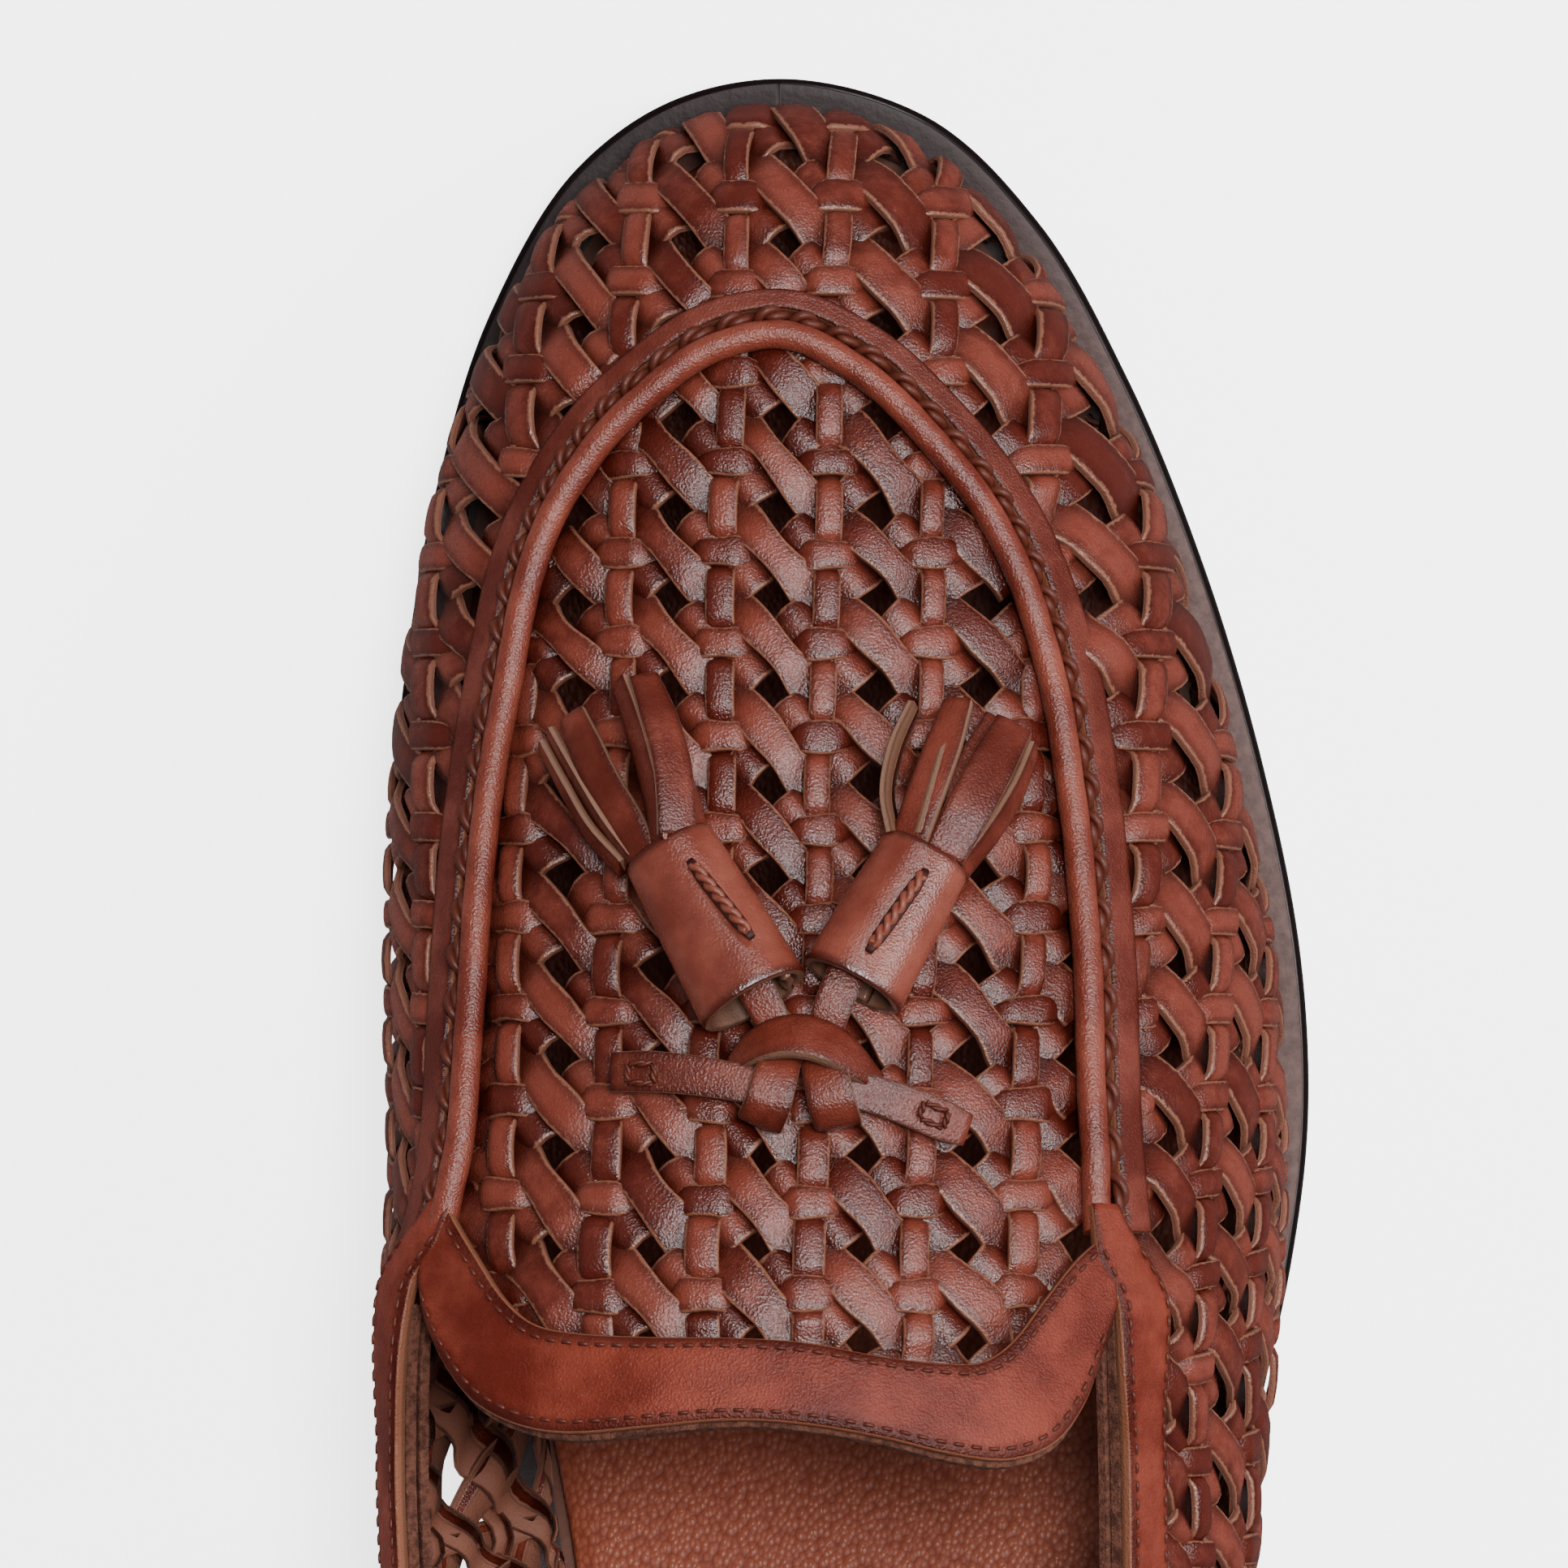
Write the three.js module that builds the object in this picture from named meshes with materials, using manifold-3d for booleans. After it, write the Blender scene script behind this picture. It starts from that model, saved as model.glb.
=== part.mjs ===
// A woven leather loafer with two tassels, for the right foot, standing empty on its sole.
// Millimetres, +Z up, toe toward +Y, little-toe side toward +X, floor at z = 0.
import * as THREE from 'three'
import { mergeVertices } from 'three/addons/utils/BufferGeometryUtils.js'
import Module from 'manifold-3d'

const wasm = await Module()
wasm.setup()

// Main sizes
const LENGTH = 298
const BALL_WIDTH = 106.4
const INSTEP_HEIGHT = 79.5
const LEATHER = 1.2
const WALL = 2
const GAP = 0.3

// Sole and heel
const SOLE_THICK = 4.5
const SOLE_BEVEL = 0.9
const SOLE_SECTIONS = 26
const FRONT_MARGIN = 4.3
const BACK_MARGIN = 2.6
const HEEL_BREAST = -0.255 * LENGTH
const HEEL_TIP_THICK = 6
const HEEL_INSET = 0.9
const HEEL_TAPER = 1.6
const INSOLE_THICK = 2.2
const INSOLE_CLEAR = 1.4

// Weave
const RING_CELLS = 58
const WALL_COLUMNS = 4
const HEM_WIDTH = 8.6
const HEM_STEP = 0.35
const COLUMN_PITCH = 11.6
const ROW_PITCH = 10.3
const NODE_RISE = 0.9
const CAP_RISE = 0.7
const CROSS_RISE = 0.45
const CELL_SINK = -0.1
const HOLE_HALF_ALONG = 0.5
const HOLE_HALF_ACROSS = 0.38
const HOLE_ROWS = 2
const HOLE_REACH = 13
const HOLE_CLEAR = 5.2
const HOLES_FROM = 0.027 * LENGTH
const APRON_ROUND = 52

// Seam, collar and back
const PIPING_WIDTH = 3.6
const PIPING_RISE = 2.4
const BAND_INNER = 3.1
const BAND_OUTER = 8.2
const COLLAR_WIDTH = 8.4
const BACK_STRAP_WIDTH = 18

// Little strap, knot, laces and tassels on the apron
const TRIM_LIFT = 1.3
const STRAP_WIDTH = 4
const STRAP_THICK = 1.4
const WRAP_WIDTH = 5.3
const WRAP_THICK = 1.2
const WRAP_RISE = 5.2
const TAB_THICK = 1.2
const TAB_LIFT = 3.5
const BARREL_WALL = 1.5
const BARREL_FLAT = 0.74
const BARREL_LIFT = 6.9
const FRINGE_PLUG = 5
const LEAF_WIDTH = 3.3
const LEAF_THICK = 1.2
const LACE_WIDTH = 4.2
const LACE_THICK = 1.4

// The ring of stations round the shoe, from the toe past the little-toe side and the heel and back.
// top: the apron seam, then the topline. sole: the sole's edge. Across is a share of BALL_WIDTH, along
// of LENGTH and rise of INSTEP_HEIGHT. ON_APRON: the height of the apron's own surface.
// low and high: how far the wall bulges out near the sole and near the top, in mm.
const ON_APRON = null
const STATION = ['topAcross', 'topAlong', 'topRise', 'soleAcross', 'soleAlong', 'low', 'high']
const STATIONS = [
  [-0.0489, 0.3960, ON_APRON, -0.0705, 0.4980, 3, 17],
  [0.0348, 0.3829, ON_APRON, 0.0846, 0.4839, 3, 15],
  [0.1165, 0.3550, ON_APRON, 0.2068, 0.4430, 3.5, 11],
  [0.1861, 0.3208, ON_APRON, 0.3026, 0.3826, 3.5, 9],
  [0.2368, 0.2735, ON_APRON, 0.3853, 0.3094, 3, 8],
  [0.2679, 0.2148, ON_APRON, 0.4511, 0.2299, 2.5, 7.5],
  [0.2857, 0.1544, ON_APRON, 0.4906, 0.1577, 2.5, 8],
  [0.2942, 0.0973, ON_APRON, 0.4991, 0.0973, 3.5, 8],
  [0.3139, 0.0336, ON_APRON, 0.4821, 0.0403, 6, 7.5],
  [0.3205, -0.0201, 0.7673, 0.4464, -0.0201, 9.5, 7.5],
  [0.3224, -0.0805, 0.7610, 0.4088, -0.0872, 12, 8.5],
  [0.3233, -0.1745, 0.7610, 0.3665, -0.1879, 10, 7],
  [0.3120, -0.2752, 0.7925, 0.3459, -0.2886, 7, 4.5],
  [0.2820, -0.3624, 0.8679, 0.3346, -0.3792, 6, 3.5],
  [0.2162, -0.4312, 0.9623, 0.2820, -0.4497, 6, 3],
  [0.1128, -0.4681, 1.0252, 0.1645, -0.4899, 6, 2],
  [-0.0047, -0.4799, 1.0440, -0.0047, -0.5020, 6, 1.5],
  [-0.1222, -0.4681, 1.0252, -0.1739, -0.4899, 6, 2],
  [-0.2303, -0.4312, 0.9623, -0.2867, -0.4497, 6, 3],
  [-0.3055, -0.3624, 0.8742, -0.3346, -0.3792, 5.5, 3.5],
  [-0.3524, -0.2752, 0.8050, -0.3346, -0.2886, 7.5, 4.5],
  [-0.3910, -0.1745, 0.7736, -0.3252, -0.1879, 13, 6],
  [-0.4117, -0.0805, 0.7673, -0.3440, -0.0872, 15, 7],
  [-0.4173, -0.0201, 0.7673, -0.3816, -0.0201, 13.5, 7],
  [-0.4070, 0.0336, ON_APRON, -0.4248, 0.0403, 11, 8],
  [-0.3684, 0.0839, ON_APRON, -0.4662, 0.0973, 9, 10],
  [-0.3600, 0.1409, ON_APRON, -0.4906, 0.1577, 7, 11],
  [-0.3506, 0.2091, ON_APRON, -0.5000, 0.2248, 4, 10],
  [-0.3308, 0.2617, ON_APRON, -0.4868, 0.2752, 3.5, 9.5],
  [-0.3045, 0.3104, ON_APRON, -0.4549, 0.3389, 3, 9.5],
  [-0.2538, 0.3463, ON_APRON, -0.3929, 0.4077, 3, 10],
  [-0.1898, 0.3718, ON_APRON, -0.2951, 0.4638, 3, 12],
  [-0.1222, 0.3896, ON_APRON, -0.1880, 0.4899, 3, 15],
]
const AT_STATION = { lateralNotch: 8, heel: 16, medialNotch: 24 }

// Height of the sole's upper face along the shoe: [share of LENGTH, mm]
const SOLE_TOP = [
  [-0.5020, 26.5], [-0.3356, 26.4], [-0.2617, 25.9], [-0.2013, 23.9], [-0.1409, 20.4], [-0.0738, 15.4],
  [-0.0168, 11], [0.0403, 7.4], [0.1007, 5], [0.1510, SOLE_THICK], [0.2081, SOLE_THICK],
  [0.2685, SOLE_THICK], [0.3020, 4.6], [0.3523, 5.5], [0.4027, 7.2], [0.4430, 8.9], [0.4765, 10.9],
  [0.5020, 12.6],
]

// Height of the apron's ridge along the shoe: [share of LENGTH, share of INSTEP_HEIGHT]
const RIDGE = [
  [-0.0671, 1.0566], [0, 0.9874], [0.0839, 0.8805], [0.1678, 0.7736], [0.2517, 0.6730],
  [0.3356, 0.5786], [0.4027, 0.5057], [0.4530, 0.4591], [0.4966, 0.4151],
]

// How far the ridge lies toward the big toe.
const RIDGE_AT_THROAT = -0.0376 * BALL_WIDTH
const RIDGE_AT_TOE = -0.0658 * BALL_WIDTH

// The throat part of the collar from the medial notch to the lateral one, edge and front in plan.
const THROAT_ROW = ['edgeAcross', 'edgeAlong', 'frontAcross', 'frontAlong']
const THROAT = [
  [-0.4000, 0.0380, -0.3770, 0.0745],
  [-0.3910, 0.0242, -0.3665, 0.0638],
  [-0.3656, 0.0074, -0.3346, 0.0470],
  [-0.3308, -0.0057, -0.3045, 0.0329],
  [-0.2810, -0.0134, -0.2707, 0.0238],
  [-0.2256, -0.0154, -0.2256, 0.0208],
  [-0.1504, -0.0128, -0.1504, 0.0198],
  [-0.0658, -0.0097, -0.0658, 0.0198],
  [0.0094, -0.0111, 0.0094, 0.0181],
  [0.0846, -0.0158, 0.0846, 0.0131],
  [0.1551, -0.0221, 0.1447, 0.0104],
  [0.2115, -0.0248, 0.1842, 0.0107],
  [0.2556, -0.0195, 0.2143, 0.0181],
  [0.2838, -0.0064, 0.2444, 0.0329],
  [0.2998, 0.0097, 0.2763, 0.0477],
  [0.3139, 0.0275, 0.3092, 0.0577],
]

// Strap halves and the two laces, in plan, from the outer end to the knot or from the knot to the tassel.
const STRAP_LEFT = [[-0.1940, 0.1208], [-0.1150, 0.1155], [-0.0545, 0.1100], [-0.0085, 0.1090]]
const STRAP_RIGHT = [[0.1660, 0.0926], [0.1050, 0.1060], [0.0560, 0.1110], [0.0180, 0.1095]]
const WRAP_CENTRES = [[-0.0230, 0.1097], [0.0330, 0.1097]]
const WRAP_ARC = [[0.0235, 0.34], [0.0125, 0.82], [0.0010, 1], [-0.0105, 0.86], [-0.0152, 0.2]]
const TAB_ARC = [[-0.0780, 0.1262], [-0.0420, 0.1330], [-0.0050, 0.1358], [0.0330, 0.1340], [0.0800, 0.1215]]

// The tassel heads, in plan: the end where the leaves come out, the open base, and the width at each.
const TASSEL_COLUMNS = ['tipAcross', 'tipAlong', 'baseAcross', 'baseAlong', 'tipWidth', 'baseWidth']
const TASSELS = {
  left: [-0.1500, 0.2020, -0.0530, 0.1455, 0.0980, 0.1200],
  right: [0.1230, 0.1975, 0.0570, 0.1500, 0.1000, 0.1130],
}
// The leaves of each tassel: where each ends in plan, its root across the head, and its end's lift in mm.
const LEAVES = {
  left: [
    [-0.2580, 0.2570, -0.50, 4.6], [-0.2010, 0.2680, -0.05, 5.6], [-0.2830, 0.2370, -0.80, 3.0],
    [-0.1260, 0.2330, 0.75, 3.2], [-0.1640, 0.2560, 0.35, 3.4],
  ],
  right: [
    [0.0880, 0.2560, -0.75, 4.4], [0.1450, 0.2590, -0.25, 5.2], [0.2070, 0.2520, 0.30, 5.4],
    [0.2330, 0.2370, 0.75, 3.4], [0.1170, 0.2450, -0.50, 2.9],
  ],
}

const V = (x, y, z) => new THREE.Vector3(x, y, z)
const mix = THREE.MathUtils.lerp
const smooth = (x, from, to) => THREE.MathUtils.smoothstep(x, from, to)
const named = (columns, row) => Object.fromEntries(columns.map((name, k) => [name, row[k]]))

// A smooth curve through rows of values at knots; closed when a period is given.
function smoothTable(knots, rows, period = 0) {
  const n = rows.length
  const knot = (k) => (period ? knots[((k % n) + n) % n] + Math.floor(k / n) * period : knots[k])
  const row = (k) => rows[period ? ((k % n) + n) % n : k]
  const tangent = (k, c) => {
    if (!period && (k === 0 || k === n - 1)) {
      const a = k === 0 ? 0 : n - 2
      return (rows[a + 1][c] - rows[a][c]) / (knots[a + 1] - knots[a])
    }
    const before = knot(k) - knot(k - 1)
    const after = knot(k + 1) - knot(k)
    const slopeBefore = (row(k)[c] - row(k - 1)[c]) / before
    const slopeAfter = (row(k + 1)[c] - row(k)[c]) / after
    return (slopeBefore * after + slopeAfter * before) / (before + after)
  }
  return (at) => {
    const u = period ? ((at % period) + period) % period : THREE.MathUtils.clamp(at, knots[0], knots[n - 1])
    let k = 0
    while (k < n - 2 + (period ? 1 : 0) && knot(k + 1) <= u) k += 1
    const span = knot(k + 1) - knot(k)
    const s = (u - knot(k)) / span
    return row(k).map((value, c) => {
      const next = row(k + 1)[c]
      const m0 = tangent(k, c) * span
      const m1 = tangent(k + 1, c) * span
      const s2 = s * s
      const s3 = s2 * s
      const along = (3 * s2 - 2 * s3) * next + (1 - 3 * s2 + 2 * s3) * value
      return along + (s3 - 2 * s2 + s) * m0 + (s3 - s2) * m1
    })
  }
}

const soleTopTable = smoothTable(SOLE_TOP.map(([along]) => along * LENGTH), SOLE_TOP.map(([, top]) => [top]))
const soleTop = (y) => Math.max(soleTopTable(y)[0], SOLE_THICK)
const ridgeTable = smoothTable(
  RIDGE.map(([along]) => along * LENGTH),
  RIDGE.map(([, rise]) => [rise * INSTEP_HEIGHT]),
)
const ridgeAcross = (y) => mix(RIDGE_AT_THROAT, RIDGE_AT_TOE, THREE.MathUtils.clamp(y / (0.4 * LENGTH), 0, 1))

// The apron's surface: a ridge along the foot, rounded across it.
const apronHeight = (x, y) => ridgeTable(y)[0] - (x - ridgeAcross(y)) ** 2 / (2 * APRON_ROUND)
function apronNormal(x, y) {
  const d = 0.5
  const slopeX = (apronHeight(x + d, y) - apronHeight(x - d, y)) / (2 * d)
  const slopeY = (apronHeight(x, y + d) - apronHeight(x, y - d)) / (2 * d)
  return V(-slopeX, -slopeY, 1).normalize()
}
const apronPoint = (x, y, h = 0) => V(x, y, apronHeight(x, y)).addScaledVector(apronNormal(x, y), h)

// Stations in millimetres, spaced along the ring by the mean of their steps on top and on the sole.
const stations = STATIONS.map((row) => {
  const s = named(STATION, row)
  const x = s.topAcross * BALL_WIDTH
  const y = s.topAlong * LENGTH
  const free = s.topRise === ON_APRON ? 0 : 1
  const z = free ? s.topRise * INSTEP_HEIGHT : apronHeight(x, y)
  return [x, y, z, s.soleAcross * BALL_WIDTH, s.soleAlong * LENGTH, s.low, s.high, free]
})
const ringKnots = [0]
stations.forEach((a, k) => {
  const b = stations[(k + 1) % stations.length]
  const topStep = Math.hypot(a[0] - b[0], a[1] - b[1])
  const soleStep = Math.hypot(a[3] - b[3], a[4] - b[4])
  ringKnots.push(ringKnots[k] + (topStep + soleStep) / 2)
})
const RING = ringKnots.pop()
const ringTable = smoothTable(ringKnots, stations, RING)
const margin = (y) => mix(BACK_MARGIN, FRONT_MARGIN, smooth(y, -0.12 * LENGTH, 0.1 * LENGTH))

// One upright section of the wall, from the top edge down to the sole.
const WALL_STEPS = 28
const sections = new Map()
function section(u) {
  const key = Math.round(u * 100)
  if (sections.has(key)) return sections.get(key)
  const [x, y, z, soleX, soleY, low, high, freeRaw] = ringTable(u)
  const [, , , x0, y0] = ringTable(u - 0.5)
  const [, , , x1, y1] = ringTable(u + 0.5)
  const out = V(-(y1 - y0), x1 - x0, 0).normalize()
  const free = THREE.MathUtils.clamp(freeRaw, 0, 1)
  const top = V(x, y, mix(apronHeight(x, y), z, free))
  const foot = V(soleX, soleY, 0).addScaledVector(out, -margin(soleY))
  foot.z = soleTop(foot.y) + 0.5
  const beyond = apronHeight(x + out.x * 0.5, y + out.y * 0.5)
  const before = apronHeight(x - out.x * 0.5, y - out.y * 0.5)
  const slope = mix(beyond - before, -2, free)
  const curve = new THREE.CubicBezierCurve3(
    top,
    top.clone().addScaledVector(out, high).add(V(0, 0, slope * high)),
    foot.clone().addScaledVector(out, low).add(V(0, 0, 0.3 * (top.z - foot.z))),
    foot,
  )
  const points = Array.from({ length: WALL_STEPS + 1 }, (_, k) => curve.getPoint(k / WALL_STEPS))
  const run = [0]
  for (let k = 1; k <= WALL_STEPS; k += 1) run.push(run[k - 1] + points[k].distanceTo(points[k - 1]))
  const made = { points, run, length: run[WALL_STEPS], out, top, foot }
  sections.set(key, made)
  return made
}
function wallBase(u, w) {
  const { points, run } = section(u)
  let k = 0
  while (k < WALL_STEPS - 1 && run[k + 1] < w) k += 1
  return points[k].clone().lerp(points[k + 1], (w - run[k]) / (run[k + 1] - run[k]))
}
// A point of the wall: u round the ring, w down from the top edge, h out from the surface.
function wallPoint(u, w, h = 0) {
  const along = wallBase(u + 0.6, w).sub(wallBase(u - 0.6, w))
  const down = wallBase(u, w + 0.6).sub(wallBase(u, w - 0.6))
  return wallBase(u, w).addScaledVector(along.cross(down).normalize(), h)
}

const geometryOf = (triangles) => {
  const geometry = new THREE.BufferGeometry()
  const numbers = triangles.flat().flatMap((p) => p.toArray())
  geometry.setAttribute('position', new THREE.Float32BufferAttribute(numbers, 3))
  return geometry
}
function toBody(geometry) {
  const bare = geometry.clone()
  bare.deleteAttribute('normal')
  bare.deleteAttribute('uv')
  const merged = mergeVertices(bare, 1e-4)
  const index = merged.index.array
  const kept = []
  for (let k = 0; k < index.length; k += 3) {
    const [a, b, c] = index.slice(k, k + 3)
    if (a !== b && b !== c && a !== c) kept.push(a, b, c)
  }
  return new wasm.Manifold(new wasm.Mesh({
    numProp: 3, vertProperties: merged.attributes.position.array, triVerts: new Uint32Array(kept),
  }))
}
function toGeometry(body) {
  const mesh = body.getMesh()
  const geometry = new THREE.BufferGeometry()
  geometry.setAttribute('position', new THREE.BufferAttribute(new Float32Array(mesh.vertProperties), 3))
  geometry.setIndex(new THREE.BufferAttribute(new Uint32Array(mesh.triVerts), 1))
  return geometry
}
const join = (...geometries) => toGeometry(geometries.map(toBody).reduce((a, b) => a.add(b)))

// A solid swept through rings of equal count; each ring runs round the section, and ends are zipped shut.
function sweep(rings, closed = false) {
  const triangles = []
  const n = rings[0].length
  const quad = (a, b, c, d) => triangles.push([a, b, c], [a, c, d])
  const count = closed ? rings.length : rings.length - 1
  for (let i = 0; i < count; i += 1) {
    const near = rings[i]
    const far = rings[(i + 1) % rings.length]
    for (let k = 0; k < n; k += 1) quad(near[k], near[(k + 1) % n], far[(k + 1) % n], far[k])
  }
  if (!closed) {
    const cap = (ring) => {
      const found = []
      for (let k = 0; k < n / 2 - 1; k += 1) {
        found.push([ring[k], ring[n - 1 - k], ring[k + 1]], [ring[k + 1], ring[n - 1 - k], ring[n - 2 - k]])
      }
      return found
    }
    triangles.push(...cap(rings[0]))
    triangles.push(...cap(rings[rings.length - 1]).map(([a, b, c]) => [a, c, b]))
  }
  const whole = triangles.filter(([a, b, c]) => b.clone().sub(a).cross(c.clone().sub(a)).length() > 1e-9)
  const volume = whole.reduce((sum, [a, b, c]) => sum + a.dot(b.clone().cross(c)), 0)
  return geometryOf(volume < 0 ? whole.map(([a, b, c]) => [a, c, b]) : whole)
}
// A strip of even thickness laid between two edge lines: place(i, s, h), s from 0 to 1 across it.
function strip(count, place, under, over, across = 1, closed = false) {
  const steps = Array.from({ length: across + 1 }, (_, k) => k / across)
  const back = [...steps].reverse()
  const ring = (i) => [...steps.map((s) => place(i, s, over)), ...back.map((s) => place(i, s, under))]
  return sweep(Array.from({ length: count }, (_, i) => ring(i)), closed)
}

// The woven wall: cells of one gap or one crossing, with strips raised outside and a plain inner face.
// Columns run along i, rows along j, and each cell is two half steps each way.
function wovenPlate({ cells, columns, closed, place, relief, hole, hem }) {
  const triangles = []
  const outer = (i, j) => place(i, j, relief(i, j))
  const inner = (i, j) => place(i, j, hem ? -WALL - hem.step(j) : -WALL)
  const face = (a, b, c) => triangles.push([a, b, c])
  const skin = (point, ring, holed, centre, corners) => {
    const found = []
    for (let side = 0; side < 4; side += 1) {
      const a = ring[side * 2]
      const mid = ring[side * 2 + 1]
      const b = ring[(side * 2 + 2) % 8]
      const apex = holed ? corners[side] : centre
      if (mid) found.push([a, mid, apex], [mid, b, apex])
      else found.push([a, b, apex])
      if (holed) found.push([b, corners[(side + 1) % 4], apex])
    }
    return found.map((triangle) => triangle.map(([i, j]) => point(i, j)))
  }
  for (let k = 0; k < cells; k += 1) {
    for (let m = 0; m < columns; m += 1) {
      const [i, j] = [2 * k, 2 * m]
      const ring = [
        [i, j], [i + 1, j], [i + 2, j], [i + 2, j + 1],
        [i + 2, j + 2], [i + 1, j + 2], [i, j + 2], [i, j + 1],
      ]
      const holed = hole(k, m)
      const [a, b] = [HOLE_HALF_ALONG, HOLE_HALF_ACROSS]
      const corners = [[i + 1, j + 1 - b], [i + 1 + a, j + 1], [i + 1, j + 1 + b], [i + 1 - a, j + 1]]
      const centre = [i + 1, j + 1]
      const rims = [m === 0, !closed && k === cells - 1, m === columns - 1, !closed && k === 0]
      const bare = ring.map((spot, n) => (n % 2 && !rims[(n - 1) / 2] ? undefined : spot))
      skin(outer, ring, holed, centre, corners).forEach(([p, q, r]) => face(p, q, r))
      skin(inner, bare, holed, centre, corners).forEach(([p, q, r]) => face(p, r, q))
      if (holed) {
        corners.forEach((spot, n) => {
          const next = corners[(n + 1) % 4]
          face(outer(...spot), outer(...next), inner(...next))
          face(outer(...spot), inner(...next), inner(...spot))
        })
      }
      const edge = (spot, next) => {
        face(outer(...next), outer(...spot), inner(...spot))
        face(outer(...next), inner(...spot), inner(...next))
      }
      rims.forEach((rim, side) => {
        if (!rim || (side === 0 && hem)) return
        edge(ring[side * 2], ring[side * 2 + 1])
        edge(ring[side * 2 + 1], ring[(side * 2 + 2) % 8])
      })
    }
    if (hem) {
      for (const i of [2 * k, 2 * k + 1]) {
        const [top0, top1] = [hem.rim(i, HEM_STEP), hem.rim(i + 1, HEM_STEP)]
        const [in0, in1] = [hem.rim(i, -WALL - HEM_STEP), hem.rim(i + 1, -WALL - HEM_STEP)]
        face(top0, top1, outer(i + 1, 0))
        face(top0, outer(i + 1, 0), outer(i, 0))
        face(in0, inner(i + 1, 0), in1)
        face(in0, inner(i, 0), inner(i + 1, 0))
        face(top1, top0, in0)
        face(top1, in0, in1)
      }
    }
  }
  const volume = triangles.reduce((sum, [a, b, c]) => sum + a.dot(b.clone().cross(c)), 0)
  return geometryOf(volume < 0 ? triangles.map(([a, b, c]) => [a, c, b]) : triangles)
}

// Strip heights at half steps: over strips at the nodes, caps between them, crossings between columns.
function weaveRelief(i, j) {
  const evenRow = Number.isInteger(i) && i % 2 === 0
  const onColumn = Number.isInteger(j) && j % 2 === 0
  if (onColumn) return evenRow ? CAP_RISE : NODE_RISE
  if (!Number.isInteger(j)) return 0
  return evenRow ? CROSS_RISE : CELL_SINK
}

const halfStep = RING / (2 * RING_CELLS)
const latticeDown = (u, j) => HEM_WIDTH + (j * (section(u).length - HEM_WIDTH)) / (2 * WALL_COLUMNS)
const heelAt = ringKnots[AT_STATION.heel]
const nearHeel = (u) => Math.abs((((u % RING) + RING) % RING) - heelAt) < BACK_STRAP_WIDTH * 0.85
const wallWeave = wovenPlate({
  cells: RING_CELLS,
  columns: WALL_COLUMNS,
  closed: true,
  place: (i, j, h) => {
    const u = (i % (2 * RING_CELLS)) * halfStep
    return wallPoint(u, latticeDown(u, j), h)
  },
  relief: (i, j) => {
    if (j === 0) return HEM_STEP
    if (j === 2 * WALL_COLUMNS || nearHeel(i * halfStep)) return 0
    return weaveRelief(i, j)
  },
  hole: (k, m) => {
    const fromToe = Math.min(k + 0.5, RING_CELLS - k - 0.5)
    return m < HOLE_ROWS && fromToe < HOLE_REACH
  },
  hem: {
    step: (j) => (j === 0 ? HEM_STEP : 0),
    rim: (i, h) => wallPoint((i % (2 * RING_CELLS)) * halfStep, 0, h),
  },
})

// Plan of the apron: inside the ring from notch to notch, and the throat's edge.
const throat = THROAT.map((row) => {
  const t = named(THROAT_ROW, row)
  return {
    edge: [t.edgeAcross * BALL_WIDTH, t.edgeAlong * LENGTH],
    front: [t.frontAcross * BALL_WIDTH, t.frontAlong * LENGTH],
  }
})
const lateralNotch = ringKnots[AT_STATION.lateralNotch]
const medialNotch = ringKnots[AT_STATION.medialNotch] - RING
const seamSteps = 52
const seamAt = Array.from({ length: seamSteps + 1 }, (_, k) => mix(medialNotch, lateralNotch, k / seamSteps))
const outline = (spread) => [
  ...seamAt.map((u) => {
    const { top, out } = section(u)
    return [top.x + out.x * spread, top.y + out.y * spread]
  }),
  ...[...throat].reverse().map((t) => t.edge),
]
const distanceTo = (x, y, line) => Math.min(...line.map(([a, b]) => Math.hypot(x - a, y - b)))
const seamLine = outline(0).slice(0, seamSteps + 1)
const throatLine = throat.map((t) => t.edge)
const frontLine = throat.map((t) => t.front)

const insideSeam = (x, y) => {
  let inside = false
  seamLine.forEach(([ax, ay], k) => {
    const [bx, by] = seamLine[(k + 1) % seamLine.length]
    if (ay > y !== by > y && x < ax + ((y - ay) * (bx - ax)) / (by - ay)) inside = !inside
  })
  return inside
}

const APRON_LEFT = -0.5348 * BALL_WIDTH
const APRON_NEAR = -0.0327 * LENGTH
const APRON_COLUMNS = Math.ceil((0.96 * BALL_WIDTH) / COLUMN_PITCH)
const APRON_ROWS = Math.ceil((0.44 * LENGTH) / ROW_PITCH)
const apronSpot = (i, j) => [APRON_LEFT + (j * COLUMN_PITCH) / 2, APRON_NEAR + (i * ROW_PITCH) / 2]
const apronWeave = wovenPlate({
  cells: APRON_ROWS,
  columns: APRON_COLUMNS,
  closed: false,
  place: (i, j, h) => apronPoint(...apronSpot(i, j), h),
  relief: (i, j) => {
    const [x, y] = apronSpot(i, j)
    const clear = Math.min(distanceTo(x, y, seamLine), distanceTo(x, y, throatLine) - COLLAR_WIDTH)
    const inside = smooth(clear, 2, 4)
    return weaveRelief(i, j) * inside
  },
  hole: (k, m) => {
    const [x, y] = apronSpot(2 * k + 1, 2 * m + 1)
    const clearOfEdges = distanceTo(x, y, seamLine) > HOLE_CLEAR && distanceTo(x, y, frontLine) > HOLE_CLEAR
    return clearOfEdges && y > HOLES_FROM && insideSeam(x, y)
  },
})
const planShape = new THREE.Shape(outline(1.6).map(([x, y]) => new THREE.Vector2(x, y)))
const planPrism = new THREE.ExtrudeGeometry(planShape, { depth: 1.3 * INSTEP_HEIGHT, bevelEnabled: false })
planPrism.translate(0, 0, 0.2 * INSTEP_HEIGHT)
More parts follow.
